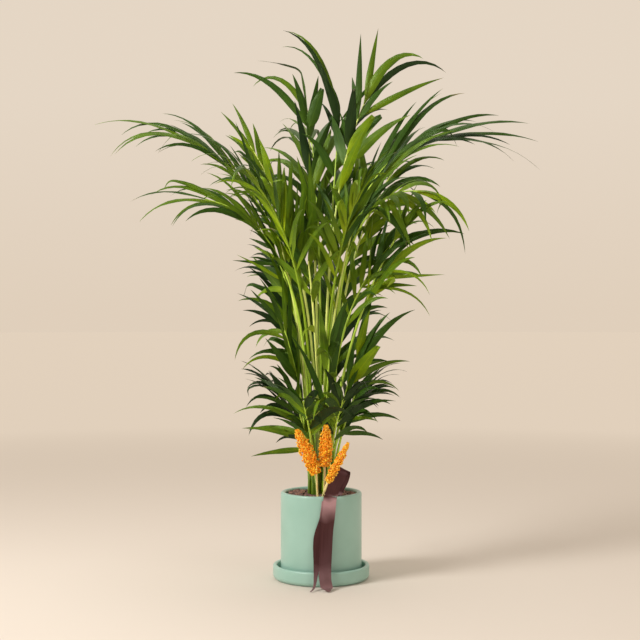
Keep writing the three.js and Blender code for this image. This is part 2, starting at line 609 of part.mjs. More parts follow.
// How wide a leaflet is along its length, as a share of its full width
function leafOutline(t) {
  const rise = Math.min(1, mix(LEAF.neck, 1, t / LEAF.broadest));
  return rise * (1 - Math.max(0, (t - LEAF.broadest) / (1 - LEAF.broadest)) ** LEAF.taper);
}

// Follows a leaflet from its root: it droops more towards the tip, and may fold over once
function leafPath(root, heading, face, leaf) {
  const point = root.clone();
  let along = heading.clone();
  let normal = squareTo(along, face);
  const path = [{ t: 0, point: point.clone(), along, normal }];
  for (let k = 0; k < LEAF_STEPS; k += 1) {
    const t = (k + 0.5) / LEAF_STEPS;
    const pull = (leaf.droop * (DROOP.root + DROOP.gain * t)) / LEAF_STEPS;
    along = along.clone().addScaledVector(partSquareTo(along, DOWN), pull).normalize();
    normal = squareTo(along, normal);
    if (leaf.fold && t > leaf.fold && t - leaf.fold < FOLD_STEPS / LEAF_STEPS) {
      const axis = along.clone().cross(normal);
      along = along.clone().applyAxisAngle(axis, rad(leaf.foldTurn / FOLD_STEPS));
      normal = normal.clone().applyAxisAngle(axis, rad(leaf.foldTurn / FOLD_STEPS));
    }
    point.addScaledVector(along, leaf.length / LEAF_STEPS);
    path.push({ t: (k + 1) / LEAF_STEPS, point: point.clone(), along, normal });
  }
  return path;
}

// The leaflet as a flat blade with a low ridge: a root sunk in the stalk, two widths and a pointed tip
function leafSolid(path, leaf) {
  const bends = leaf.fold || leaf.length > LEAF.long || leaf.droop > LEAF.slack;
  const [low, high] = LEAF.bentRings;
  const shares = bends ? [low, leaf.fold || high] : [LEAF.ring];
  const rings = [0, ...shares].map((share) => {
    const { point, along, normal } = path[Math.round(share * LEAF_STEPS)];
    const side = normal.clone().cross(along);
    const half = share === 0 ? LEAF.rootWidth / 2 : (leaf.width * leafOutline(share)) / 2;
    const height = share === 0 ? LEAF.rootHeight : leaf.length * LEAF.thickness;
    const under = -height / 3;
    return [
      point.clone().addScaledVector(side, half).addScaledVector(normal, under),
      point.clone().addScaledVector(normal, under + height),
      point.clone().addScaledVector(side, -half).addScaledVector(normal, under),
    ];
  });
  return skin([...rings, [path[LEAF_STEPS].point]]);
}

// The leaflets that a frond's rule gives: pairs along the rachis, then the blades set by hand
function leafPlans(frond, index) {
  const plans = [];
  for (let i = 0; i < frond.pairs; i += 1) {
    for (const hand of [-1, 1]) {
      const right = hand > 0;
      const seed = index * 131 + i * 7 + (right ? 3 : 0);
      const lag = PAIR.lag + (right ? PAIR.stagger : 0);
      const u = Math.min(1, Math.max(0, (i + lag + STRAY.place * swing(seed)) / frond.pairs));
      const bulge = Math.sin(Math.PI * u);
      const length = mix(frond.leaf, frond.tipLeaf, u) * (PAIR.length + PAIR.longer * bulge);
      const width = frond.width * (PAIR.width + PAIR.wider * bulge);
      plans.push({
        hand,
        at: mix(frond.bare, 1, u),
        open: mix(frond.open, frond.tipOpen, u) + STRAY.open * swing(seed + 1),
        lift: frond.lift + STRAY.lift * swing(seed + 2),
        length: length * (1 + STRAY.length * swing(seed + 3)),
        width: width * (1 + STRAY.width * swing(seed + 4)),
        twist: STRAY.twist * swing(seed + 5),
        droop: frond.droop * (1 + STRAY.droop * swing(seed + 6)),
        fold: chance(seed + 7) < STRAY.fold ? STRAY.foldAt + STRAY.foldSpan * chance(seed + 8) : 0,
        foldTurn: frond.foldTurn,
      });
    }
  }
  for (const blade of frond.blades) plans.push({ hand: 0, face: FRONT_HEADING, ...blade });
  return plans;
}

// Where a leaflet starts, and how it heads and faces there, for one of the tries at placing it
function leafStart(frond, path, plan, attempt) {
  const at = stalkAt(path, plan.at);
  if (plan.hand === 0) {
    const [lean, depth] = [rad(plan.lean + attempt.swing / 4), rad(plan.depth + attempt.swing / 2)];
    const heading = new THREE.Vector3(
      Math.sin(lean) * Math.cos(depth), Math.sin(depth), Math.cos(lean) * Math.cos(depth));
    const facing = rad(plan.face);
    return { root: at.point, heading, face: new THREE.Vector3(Math.cos(facing), Math.sin(facing), 0) };
  }
  const over = squareTo(at.along, UP);
  const roll = rad(frond.roll);
  const side = at.side.clone().applyAxisAngle(at.along, roll);
  const face = over.applyAxisAngle(at.along, roll);
  const lift = rad(plan.lift + attempt.swing);
  const open = rad(plan.open);
  const across = side.multiplyScalar(plan.hand * Math.cos(lift)).addScaledVector(face, Math.sin(lift));
  const heading = at.along.clone().multiplyScalar(Math.cos(open)).addScaledVector(across, Math.sin(open));
  heading.normalize();
  return { root: at.point, heading, face: squareTo(heading, face).applyAxisAngle(heading, rad(plan.twist)) };
}

// Keeps the solids that stand already, and says whether a new one is clear of all but the named ones
class Space {
  constructor() {
    this.kept = [];
  }

  keep(body, owner, part = 'piece') {
    this.kept.push({ body, owner, part, box: body.boundingBox() });
  }

  isClear(body, ignored) {
    const { min, max } = body.boundingBox();
    return this.kept.every((other) => {
      if (ignored(other)) return true;
      const apart = [0, 1, 2].some((k) => (
        other.box.min[k] - LEAF.clearance > max[k] || other.box.max[k] + LEAF.clearance < min[k]));
      return apart || body.minGap(other.body, LEAF.clearance) >= LEAF.clearance;
    });
  }
}

// Every leaflet of a frond that finds room. Each is tried a few ways: clear of its own frond's leaflets too
// if it can be, and otherwise across them, but never touching another frond.
function frondLeaves(frond, index, name, path, space) {
  const ownStalk = (other) => other.owner === name && other.part === 'stalk';
  const ownFrond = (other) => other.owner === name;
  const leaves = [];
  for (const plan of leafPlans(frond, index)) {
    const tries = TRIES.map((attempt) => {
      const leaf = { ...plan, length: plan.length * attempt.size };
      const { root, heading, face } = leafStart(frond, path, plan, attempt);
      return leafSolid(leafPath(root, heading, face, leaf), leaf);
    });
    const isClear = (ignored) => tries.find((body) => space.isClear(body, ignored));
    const body = isClear(ownStalk) ?? isClear(ownFrond);
    if (!body) continue;
    space.keep(body, name, 'leaflet');
    leaves.push(body);
  }
  return leaves;
}

// Flower spikes

// A stem that carries a spindle of small buds, fused to a core
function spike({ foot, base, tip, girth }) {
  const start = new THREE.Vector3(foot[0], foot[1], SOIL_TOP + GAP);
  const low = new THREE.Vector3(...base);
  const high = new THREE.Vector3(...tip);
  const along = high.clone().sub(low).normalize();
  const u = squareTo(along, FRONT);
  const v = along.clone().cross(u);
  const level = [new THREE.Vector3(1, 0, 0), new THREE.Vector3(0, 1, 0)];
  const widest = girth / 2 - SPIKE.bud * SPIKE.sink;
  const core = (t) => widest * Math.sin(Math.PI * mix(...SPIKE.ends, t)) ** SPIKE.fullness;
  const stem = skin([
    ringAt(start, ...level, SPIKE.stem, SPIKE.sides),
    ringAt(low, u, v, SPIKE.stem, SPIKE.sides),
    ...SPIKE.rings.map((t) => ringAt(low.clone().lerp(high, t), u, v, core(t), SPIKE.sides)),
    [high],
  ]);
  const pieces = [stem];
  for (let row = 0; row < SPIKE.rows; row += 1) {
    const t = (row + SPIKE.firstRow) / SPIKE.rows;
    for (let k = 0; k < SPIKE.round; k += 1) {
      const a = ((k + 0.5 * (row % 2)) * 2 * Math.PI) / SPIKE.round;
      const centre = low.clone().lerp(high, t)
        .addScaledVector(u, core(t) * Math.cos(a))
        .addScaledVector(v, core(t) * Math.sin(a));
      const bud = new THREE.OctahedronGeometry(SPIKE.bud, 0).rotateZ(row + k);
      pieces.push(solidOf(bud.translate(centre.x, centre.y, centre.z)));
    }
  }
  return join(pieces);
}

// Ribbon

// A thin band that is skinned along its run
function ribbon(stations) {
  const middle = new THREE.CatmullRomCurve3(stations.map((s) => new THREE.Vector3(...s.at)));
  const across = new THREE.CatmullRomCurve3(stations.map((s) => new THREE.Vector3(...s.across)));
  const count = (stations.length - 1) * RIBBON.steps;
  const rings = Array.from({ length: count + 1 }, (_, i) => {
    const centre = middle.getPoint(i / count);
    const along = middle.getTangent(i / count);
    const side = squareTo(along, across.getPoint(i / count));
    const normal = side.clone().cross(along);
    const span = Math.min(Math.floor(i / RIBBON.steps), stations.length - 2);
    const [near, far] = [stations[span].share ?? 1, stations[span + 1].share ?? 1];
    const width = RIBBON.width * mix(near, far, i / RIBBON.steps - span);
    const corner = (s, n) => {
      const point = centre.clone()
        .addScaledVector(side, (s * width) / 2)
        .addScaledVector(normal, (n * RIBBON.thickness) / 2);
      if (i === 0 && stations[0].level) point.addScaledVector(along, (centre.z - point.z) / along.z);
      return point;
    };
    return [corner(-1, -1), corner(-1, 1), corner(1, 1), corner(1, -1)];
  });
  return skin(rings);
}

// Assembly

const plant = new THREE.Group();
const space = new Space();

function place(name, body, colour, roughness) {
  space.keep(body, name);
  plant.add(meshOf(name, body, colour, roughness));
}

place('saucer', saucer(), COLOUR.glaze, 0.45);
place('pot', pot(), COLOUR.glaze, 0.45);
place('potting_fill', fill(), COLOUR.stones, 0.95);
for (const [name, sizes] of Object.entries(SPIKES)) place(`flower_spike_${name}`, spike(sizes), COLOUR.bud);
for (const [name, stations] of Object.entries(RIBBON_RUNS)) place(name, ribbon(stations), COLOUR.satin, 0.35);
for (const name of Object.keys(CANES)) place(`cane_${name}`, cane(name), COLOUR.cane);

// Every stalk stands before the first leaflet is placed
const fronds = Object.entries(FRONDS).map(([name, row], index) => {
  const frond = { ...FROND, ...row };
  const path = stalkPath(frond);
  const body = stalk(frond, path);
  space.keep(body, name, 'stalk');
  return { name, frond, index, path, body };
});
for (const { name, frond, index, path, body } of fronds) {
  const leaves = frondLeaves(frond, index, name, path, space);
  const colour = frond.tone > 0.5 ? COLOUR.bright : COLOUR.frond;
  plant.add(meshOf(`frond_${name}`, join([body, ...leaves]), colour));
}

export default plant;
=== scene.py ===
"""Looks of a potted feather palm with orange flower spikes and a satin ribbon, around its fixed frame.

Sizes are in millimetres in the tables and in metres in the meshes. The origin is the centre of the saucer's
underside, +Z is up and the front is -Y. Angles in the tables are degrees.
"""

import logging
import math
from dataclasses import dataclass, field, replace
from enum import Enum
from typing import Callable, Iterator, Sequence

import bmesh
import bpy
import numpy as np
from mathutils import Matrix, Vector
from mathutils.kdtree import KDTree


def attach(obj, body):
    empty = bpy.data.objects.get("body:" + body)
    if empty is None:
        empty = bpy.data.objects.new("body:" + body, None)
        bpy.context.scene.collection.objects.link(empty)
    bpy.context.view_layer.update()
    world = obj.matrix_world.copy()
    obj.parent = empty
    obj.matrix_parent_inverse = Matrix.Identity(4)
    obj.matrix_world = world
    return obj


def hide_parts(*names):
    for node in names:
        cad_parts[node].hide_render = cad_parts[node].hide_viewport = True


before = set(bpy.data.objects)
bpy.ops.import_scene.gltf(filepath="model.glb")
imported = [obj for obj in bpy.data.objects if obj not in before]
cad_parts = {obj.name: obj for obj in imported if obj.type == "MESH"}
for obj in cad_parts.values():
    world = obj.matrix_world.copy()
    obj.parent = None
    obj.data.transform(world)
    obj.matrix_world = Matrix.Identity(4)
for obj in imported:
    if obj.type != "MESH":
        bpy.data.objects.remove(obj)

LOG = logging.getLogger("palm")
MM = 0.001
BODY = "root"
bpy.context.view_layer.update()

UP = Vector((0.0, 0.0, 1.0))
DOWN = Vector((0.0, 0.0, -1.0))
LEVEL_AXES = (Vector((1.0, 0.0, 0.0)), Vector((0.0, 1.0, 0.0)))
FRONT_HEADING = 270.0
GOLDEN_ANGLE = 137.508

# The gap between a piece and what it is seated on, the height of the potting fill, and how far a stalk's
# foot stands from the middle of its cane, in millimetres.
GAP = 0.3
SOIL_TOP = 155.0
STALK_SEAT = 4.9

# How near in metres two heights, and two radii, count as the same.
SAME_HEIGHT = 1e-5
SAME_RADIUS = 1e-4


def chance(seed: float) -> float:
    """Give a repeatable number from 0 to 1 for a seed."""
    x = math.sin(seed * 12.9898 + 4.1414) * 43758.5453
    return x - math.floor(x)


def swing(seed: float) -> float:
    """Give a repeatable number from -1 to 1 for a seed."""
    return 2.0 * chance(seed) - 1.0


def pick(seed: float, count: int) -> int:
    """Give a repeatable index below a count for a seed."""
    return int(chance(seed) * (count - 0.001))


def mix(a: float, b: float, t: float) -> float:
    """Go from a to b as t goes from 0 to 1."""
    return a + (b - a) * t


def clamp(value: float, low: float = 0.0, high: float = 1.0) -> float:
    """Keep a value between two limits."""
    return max(low, min(high, value))


def level(heading: float) -> Vector:
    """Give the level unit vector at a heading in degrees."""
    turn = math.radians(heading)
    return Vector((math.cos(turn), math.sin(turn), 0.0))


def part_square_to(direction: Vector, vector: Vector) -> Vector:
    """Give the part of a vector that is square to a unit direction."""
    return vector - direction * vector.dot(direction)


def square_to(direction: Vector, vector: Vector) -> Vector:
    """Give the part of a vector square to a unit direction, at unit length."""
    return part_square_to(direction, vector).normalized()


def turned(vector: Vector, axis: Vector, degrees: float) -> Vector:
    """Turn a vector about an axis by some degrees."""
    return Matrix.Rotation(math.radians(degrees), 3, axis) @ vector


def linear(red: int, green: int, blue: int) -> tuple[float, float, float, float]:
    """Turn a screen colour from 0 to 255 into the linear colour that a shader takes.

    Args:
        red: its red channel.
        green: its green channel.
        blue: its blue channel.

    Returns:
        The linear colour, with an alpha of one.
    """
    def channel(value: int) -> float:
        """Turn one channel of a screen colour into linear light."""
        share = value / 255.0
        return share / 12.92 if share <= 0.04045 else ((share + 0.055) / 1.055) ** 2.4

    return channel(red), channel(green), channel(blue), 1.0


def shade(colour: Sequence[int], gain: Sequence[float],
          lift: Sequence[int] = (0, 0, 0)) -> tuple[float, float, float, float]:
    """Give a screen colour, with each channel scaled and then lifted, as a shader takes it."""
    red, green, blue = (min(255, int(c * g) + more) for c, g, more in zip(colour, gain, lift))
    return linear(red, green, blue)


class Nodes:
    """A node tree, and short ways to add nodes to it and join them."""

    MIX_SHARE, MIX_FIRST, MIX_SECOND, MIX_RESULT = 0, 6, 7, 2

    def __init__(self, tree: bpy.types.NodeTree) -> None:
        """Keep the tree.

        Args:
            tree: the tree of a material or of the world.
        """
        self.tree = tree

    def node(self, kind: str, **inputs: object) -> bpy.types.Node:
        """Add a node and set its inputs.

        Args:
            kind: the node's type name without the prefix ShaderNode.
            **inputs: values for its input sockets, by name with _ for a space.

        Returns:
            The new node.
        """
        made = self.tree.nodes.new("ShaderNode" + kind)
        for name, value in inputs.items():
            made.inputs[name.replace("_", " ")].default_value = value
        return made

    def link(self, output: bpy.types.NodeSocket, target: bpy.types.NodeSocket) -> None:
        """Join an output to an input."""
        self.tree.links.new(output, target)

    def feed(self, value: object, target: bpy.types.NodeSocket) -> None:
        """Give an input a constant, or the socket that it reads.

        Args:
            value: the number, colour or socket.
            target: the input.
        """
        if isinstance(value, bpy.types.NodeSocket):
            self.link(value, target)
        else:
            target.default_value = value

    def split(self, vector: bpy.types.NodeSocket) -> tuple[bpy.types.NodeSocket, ...]:
        """Give the sockets of a vector's X, Y and Z.

        Args:
            vector: the vector's socket.

        Returns:
            The three sockets.
        """
        made = self.node("SeparateXYZ")
        self.link(vector, made.inputs["Vector"])
        return tuple(made.outputs)

    def reckon(self, operation: str, *values: object) -> bpy.types.NodeSocket:
        """Reckon with sockets and numbers.

        Args:
            operation: what is done, such as MULTIPLY_ADD.
            *values: the sockets or numbers that it is done with, in their order.

        Returns:
            The result's socket.
        """
        made = self.node("Math")
        made.operation = operation
        for value, target in zip(values, made.inputs):
            self.feed(value, target)
        return made.outputs[0]

    def ramp(self, value: bpy.types.NodeSocket, low: float, high: float,
             to_low: float = 0.0, to_high: float = 1.0) -> bpy.types.NodeSocket:
        """Stretch a value's range from low to high onto a new range.

        Args:
            value: the socket that is read.
            low: where the old range starts.
            high: where the old range ends.
            to_low: where the new range starts.
            to_high: where the new range ends.

        Returns:
            The new value's socket.
        """
        made = self.node("MapRange", From_Min=low, From_Max=high, To_Min=to_low, To_Max=to_high)
        self.link(value, made.inputs["Value"])
        return made.outputs["Result"]

    def blend(self, share: bpy.types.NodeSocket, first: object, second: object) -> bpy.types.NodeSocket:
        """Mix two colours by a share.

        Args:
            share: the socket of how much of the second colour there is.
            first: a colour, or the socket of one.
            second: a colour, or the socket of one.

        Returns:
            The mixed colour's socket.
        """
        made = self.node("Mix")
        made.data_type = "RGBA"
        for value, index in ((share, self.MIX_SHARE), (first, self.MIX_FIRST), (second, self.MIX_SECOND)):
            self.feed(value, made.inputs[index])
        return made.outputs[self.MIX_RESULT]


class Paint(Nodes):
    """A material with its node tree, and short ways to set its shader."""

    def __init__(self, name: str) -> None:
        """Start an empty principled material.

        Args:
            name: what the material is called.
        """
        self.material = bpy.data.materials.new(name)
        self.material.use_nodes = True
        super().__init__(self.material.node_tree)
        self.shader = self.tree.nodes["Principled BSDF"]

    def set(self, **sockets: object) -> None:
        """Give constant values to sockets of the shader, by name with _ for a space."""
        for name, value in sockets.items():
            self.shader.inputs[name.replace("_", " ")].default_value = value

    def coordinates(self, source: str, scale: Sequence[float] = (1, 1, 1)) -> bpy.types.NodeSocket:
        """Give the place on a piece, stretched by a scale.

        Args:
            source: Object or UV.
            scale: how many units of the pattern fit in a unit of the place, on each axis.

        Returns:
            The vector's socket.
        """
        place = self.node("TexCoord")
        mapping = self.node("Mapping", Scale=tuple(scale))
        self.link(place.outputs[source], mapping.inputs["Vector"])
        return mapping.outputs["Vector"]

    def noise(self, place: bpy.types.NodeSocket, scale: float, detail: float = 3.0) -> bpy.types.NodeSocket:
        """Give a noise pattern's value at a place.

        Args:
            place: the socket of the place.
            scale: how fine the pattern is.
            detail: how many finer patterns lie on it.

        Returns:
            The value's socket.
        """
        made = self.node("TexNoise", Scale=scale, Detail=detail)
        self.link(place, made.inputs["Vector"])
        return made.outputs["Fac"]

    def wave(self, place: bpy.types.NodeSocket, **inputs: float) -> bpy.types.NodeSocket:
        """Give a pattern of lines its value at a place, with the node's own inputs by name.

        Args:
            place: the socket of the place.
            **inputs: values for the node's inputs, by name.

        Returns:
            The value's socket.
        """
        made = self.node("TexWave", **inputs)
        self.link(place, made.inputs["Vector"])
        return made.outputs["Fac"]

    def colour(self, source: bpy.types.NodeSocket) -> None:
        """Take the shader's base colour from a socket."""
        self.link(source, self.shader.inputs["Base Color"])

    def roughness(self, source: bpy.types.NodeSocket) -> None:
        """Take the shader's roughness from a socket."""
        self.link(source, self.shader.inputs["Roughness"])

    def bump(self, height: bpy.types.NodeSocket, strength: float, depth: float) -> None:
        """Give the surface a relief.

        Args:
            height: the socket of the relief's height, from 0 to 1.
            strength: how much of it shows.
            depth: its full depth in metres.
        """
        made = self.node("Bump", Strength=strength, Distance=depth)
        self.link(height, made.inputs["Height"])
        if self.shader.inputs["Normal"].is_linked:
            self.link(self.shader.inputs["Normal"].links[0].from_socket, made.inputs["Normal"])
        self.link(made.outputs["Normal"], self.shader.inputs["Normal"])


class Green(Enum):
    """The greens of leaves and stalks, from the deepest to the brightest."""

    DEEP = (20, 46, 14)
    DARK = (46, 80, 14)
    MID = (86, 118, 12)
    FRESH = (118, 150, 14)
    BRIGHT = (138, 170, 26)
    LIME = (168, 202, 66)
    YELLOW = (206, 228, 116)

    @classmethod
    def at(cls, tone: float, last: int = 6) -> int:
        """Give the index of the green for a tone from 0 to 1, no brighter than the last one allowed."""
        return int(clamp(round(tone * last), 0, last))


@dataclass(frozen=True)
class LeafFinish:
    """A satin leaf, lighter at its root and midrib, with fine veins and here and there a dry tip."""

    green: Green
    light_gain: tuple[float, float, float] = (1.3, 1.18, 1.15)
    light_lift: tuple[int, int, int] = (16, 12, 4)
    deep_gain: tuple[float, float, float] = (0.72, 0.78, 0.9)
    rib_half: float = 0.055
    root_reach: float = 0.42
    veins: float = 9.0
    vein_tone: float = 0.2
    dry: tuple[int, int, int] = (138, 126, 84)
    dry_range: tuple[float, float] = (1.22, 1.34)
    roughness: float = 0.36

    def material(self) -> bpy.types.Material:
        """Build the material from the leaflet's own UV map, across it and along it.

        Returns:
            The new material.
        """
        paint = Paint(f"leaf_{self.green.name.lower()}")
        base = linear(*self.green.value)
        light = shade(self.green.value, self.light_gain, self.light_lift)
        deep = shade(self.green.value, self.deep_gain)
        across, along, _ = paint.split(paint.coordinates("UV"))
        from_rib = paint.reckon("ABSOLUTE", paint.reckon("SUBTRACT", across, 0.5))
        mottle = paint.ramp(paint.noise(paint.coordinates("Object"), 26.0), 0.35, 0.68)
        lines = paint.wave(
            paint.coordinates("UV", (1, 0.05, 1)), Scale=self.veins, Distortion=0.6, Detail=1.0)
        body = paint.blend(mottle, base, deep)
        body = paint.blend(paint.ramp(along, 0.0, self.root_reach, 0.75, 0.0), body, light)
        body = paint.blend(paint.ramp(lines, 0.0, 1.0, 0.0, self.vein_tone), body, light)
        body = paint.blend(paint.ramp(from_rib, 0.0, self.rib_half, 0.5, 0.0), body, light)
        cloud = paint.noise(paint.coordinates("Object"), 9.0, 1.0)
        dryness = paint.ramp(paint.reckon("MULTIPLY_ADD", cloud, 0.5, along), *self.dry_range)
        paint.colour(paint.blend(dryness, body, linear(*self.dry)))
        paint.bump(lines, 0.35, 0.0003)
        paint.roughness(paint.ramp(mottle, 0.0, 1.0, self.roughness - 0.05, self.roughness + 0.08))
        paint.set(Specular_IOR_Level=0.34, Specular_Tint=(0.8, 1.0, 0.55, 1.0))
        return paint.material


@dataclass(frozen=True)
class StalkFinish:
    """A smooth stalk with faint long streaks, darker towards its foot."""

    green: Green
    name: str = "stalk"
    pale_gain: tuple[float, float, float] = (1.2, 1.15, 1.2)
    pale_lift: tuple[int, int, int] = (10, 8, 6)
    foot_gain: tuple[float, float, float] = (0.45, 0.55, 0.7)
    foot_reach: float = 0.24
    foot_tone: float = 0.8
    roughness: float = 0.4

    def material(self) -> bpy.types.Material:
        """Build the material from the place on the stalk and, in its UV map, the way along it.

        Returns:
            The new material.
        """
        paint = Paint(f"{self.name}_{self.green.name.lower()}")
        pale = shade(self.green.value, self.pale_gain, self.pale_lift)
        foot = shade(self.green.value, self.foot_gain)
        streaks = paint.noise(paint.coordinates("Object", (1, 1, 0.06)), 420.0, 2.0)
        _, along, _ = paint.split(paint.coordinates("UV"))
        body = paint.blend(paint.ramp(streaks, 0.3, 0.75), linear(*self.green.value), pale)
        paint.colour(paint.blend(paint.ramp(along, 0.0, self.foot_reach, self.foot_tone, 0.0), body, foot))
        paint.bump(streaks, 0.2, 0.0003)
        paint.set(Roughness=self.roughness, Specular_IOR_Level=0.4, Coat_Weight=0.08, Coat_Roughness=0.3)
        return paint.material


@dataclass(frozen=True)
class CaneFinish:
    """A slim green cane, brown and dull near the fill."""

    base: tuple[int, int, int] = (52, 74, 28)
    lit: tuple[int, int, int] = (70, 92, 36)
    low: tuple[int, int, int] = (74, 66, 42)
    low_range: tuple[float, float] = (0.155, 0.175)

    def material(self) -> bpy.types.Material:
        """Build the material from the height on the cane.

        Returns:
            The new material.
        """
        paint = Paint("cane")
        _, _, height = paint.split(paint.coordinates("Object"))
        foot = paint.ramp(height, *self.low_range, 0.85, 0.0)
        grain = paint.noise(paint.coordinates("Object", (1, 1, 0.2)), 260.0, 3.0)
        green = paint.blend(paint.ramp(grain, 0.3, 0.7), linear(*self.base), linear(*self.lit))
        paint.colour(paint.blend(foot, green, linear(*self.low)))
        paint.bump(grain, 0.3, 0.0004)
        paint.set(Roughness=0.5, Specular_IOR_Level=0.45)
        return paint.material


@dataclass(frozen=True)
class GlazeFinish:
    """A pale mint glaze, satin, with a soft mottle and a faint wheel line."""

    base: tuple[int, int, int] = (158, 196, 182)
    pooled: tuple[int, int, int] = (149, 188, 173)
    speck: tuple[int, int, int] = (190, 218, 198)
    roughness: float = 0.38

    def material(self) -> bpy.types.Material:
        """Build the material from the place on the pot.

        Returns:
            The new material.
        """
        paint = Paint("mint_glaze")
        cloud = paint.noise(paint.coordinates("Object"), 14.0, 3.0)
        wheel = paint.noise(paint.coordinates("Object", (0.15, 0.15, 1)), 190.0, 2.0)
        fine = paint.noise(paint.coordinates("Object"), 900.0, 2.0)
        body = paint.blend(paint.ramp(cloud, 0.35, 0.68), linear(*self.base), linear(*self.pooled))
        paint.colour(paint.blend(paint.ramp(fine, 0.55, 0.8, 0.0, 0.12), body, linear(*self.speck)))
        paint.roughness(paint.ramp(cloud, 0.3, 0.7, self.roughness - 0.04, self.roughness + 0.08))
        paint.bump(wheel, 0.12, 0.0004)
        paint.bump(fine, 0.08, 0.0002)
        paint.set(Specular_IOR_Level=0.5, Coat_Weight=0.25, Coat_Roughness=0.28)
        return paint.material


@dataclass(frozen=True)
class StoneFinish:
    """A broken stone chipping, rough, with a grainy face."""

    name: str
    base: tuple[int, int, int]
    fleck: tuple[int, int, int]

    def material(self) -> bpy.types.Material:
        """Build the material from the place on the stones.

        Returns:
            The new material.
        """
        paint = Paint(f"stone_{self.name}")
        grain = paint.noise(paint.coordinates("Object"), 620.0, 4.0)
        cloud = paint.noise(paint.coordinates("Object"), 150.0, 3.0)
        body = paint.blend(paint.ramp(cloud, 0.3, 0.7, 0.0, 0.5), linear(*self.base), linear(*self.fleck))
        paint.colour(paint.blend(paint.ramp(grain, 0.5, 0.75), body, linear(*self.fleck)))
        paint.bump(grain, 0.5, 0.0005)
        paint.set(Roughness=0.85, Specular_IOR_Level=0.3)
        return paint.material


@dataclass(frozen=True)
class SoilFinish:
    """Dark crumbly potting mix between the stones."""

    base: tuple[int, int, int] = (44, 34, 30)
    crumb: tuple[int, int, int] = (76, 60, 52)

    def material(self) -> bpy.types.Material:
        """Build the material from the place on the soil.

        Returns:
            The new material.
        """
        paint = Paint("potting_mix")
        crumbs = paint.noise(paint.coordinates("Object"), 340.0, 5.0)
        paint.colour(paint.blend(paint.ramp(crumbs, 0.35, 0.7), linear(*self.base), linear(*self.crumb)))
        paint.bump(crumbs, 0.8, 0.0015)
        paint.set(Roughness=0.95, Specular_IOR_Level=0.2)
        return paint.material


@dataclass(frozen=True)
class BudFinish:
    """A plump matte flower bud."""

    name: str
    base: tuple[int, int, int]
    deep: tuple[int, int, int]

    def material(self) -> bpy.types.Material:
        """Build the material from the place on the spike.

        Returns:
            The new material.
        """
        paint = Paint(f"bud_{self.name}")
        cloud = paint.noise(paint.coordinates("Object"), 520.0, 2.0)
        paint.colour(paint.blend(paint.ramp(cloud, 0.35, 0.65), linear(*self.base), linear(*self.deep)))
        paint.bump(cloud, 0.2, 0.0003)
        paint.set(Roughness=0.5, Specular_IOR_Level=0.4, Subsurface_Weight=0.15, Subsurface_Scale=0.002)
        return paint.material


@dataclass(frozen=True)
class StemFinish:
    """The pale yellow stem of a flower spike, with fine streaks along it."""

    base: tuple[int, int, int] = (255, 242, 180)
    streak: tuple[int, int, int] = (242, 212, 128)

    def material(self) -> bpy.types.Material:
        """Build the material from the place on the stem.

        Returns:
            The new material.
        """
        paint = Paint("spike_stem")
        streaks = paint.noise(paint.coordinates("Object", (1, 1, 0.1)), 600.0, 2.0)
        paint.colour(paint.blend(paint.ramp(streaks, 0.3, 0.7), linear(*self.base), linear(*self.streak)))
        paint.set(Roughness=0.5, Specular_IOR_Level=0.4)
        return paint.material


@dataclass(frozen=True)
class SatinFinish:
    """Plum brown satin with a fine weave, and a pinkish sheen painted into its colour below the rim and near
    the ground.
    """

    base: tuple[int, int, int] = (64, 31, 31)
    lit: tuple[int, int, int] = (84, 47, 48)
    # The colour, heights and strengths of a pinkish sheen that is painted into the base colour.
    painted_sheen: tuple[int, int, int] = (206, 162, 166)
    painted_sheen_fold_range: tuple[float, float] = (0.128, 0.158)
    fold_painted_sheen: float = 0.8
    painted_sheen_rim_range: tuple[float, float] = (0.166, 0.176)
    painted_sheen_ground_range: tuple[float, float] = (0.02, 0.055)
    ground_painted_sheen: float = 0.3
    painted_sheen_ragged: float = 0.02
    threads: float = 90.0

    def material(self) -> bpy.types.Material:
        """Build the material from the ribbon's own UV map, and its painted sheen from the height on the pot.

        Returns:
            The new material.
        """
        paint = Paint("plum_satin")
        weave = paint.wave(paint.coordinates("UV", (1, 0.02, 1)), Scale=self.threads, Distortion=0.2)
        slub = paint.noise(paint.coordinates("UV", (60, 3, 1)), 1.0, 3.0)
        body = paint.blend(paint.ramp(slub, 0.35, 0.7), linear(*self.base), linear(*self.lit))
        place = paint.coordinates("Object")
        _, _, level_height = paint.split(place)
        # Painted sheen: the colour is lightened towards a pinkish highlight in ragged bands by height, below
        # the rim and near the ground.
        height = paint.reckon("MULTIPLY_ADD", paint.noise(place, 45.0, 1.0), self.painted_sheen_ragged, level_height)
        fold = paint.ramp(height, *self.painted_sheen_fold_range, 0.0, self.fold_painted_sheen)
        painted_sheen_under_rim = paint.ramp(height, *self.painted_sheen_rim_range, 1.0, 0.0)
        ground = paint.ramp(height, *self.painted_sheen_ground_range, self.ground_painted_sheen, 0.0)
        painted_sheen_band = paint.reckon("MULTIPLY_ADD", fold, painted_sheen_under_rim, ground)
        paint.colour(paint.blend(painted_sheen_band, body, linear(*self.painted_sheen)))
        paint.bump(weave, 0.15, 0.0001)
        paint.set(Roughness=0.36, Metallic=0.45, Specular_IOR_Level=0.7, Specular_Tint=(1.0, 0.76, 0.78, 1.0),
                  Anisotropic=0.5, Sheen_Weight=0.06, Sheen_Roughness=0.3, Sheen_Tint=(0.9, 0.68, 0.7, 1.0))
        return paint.material


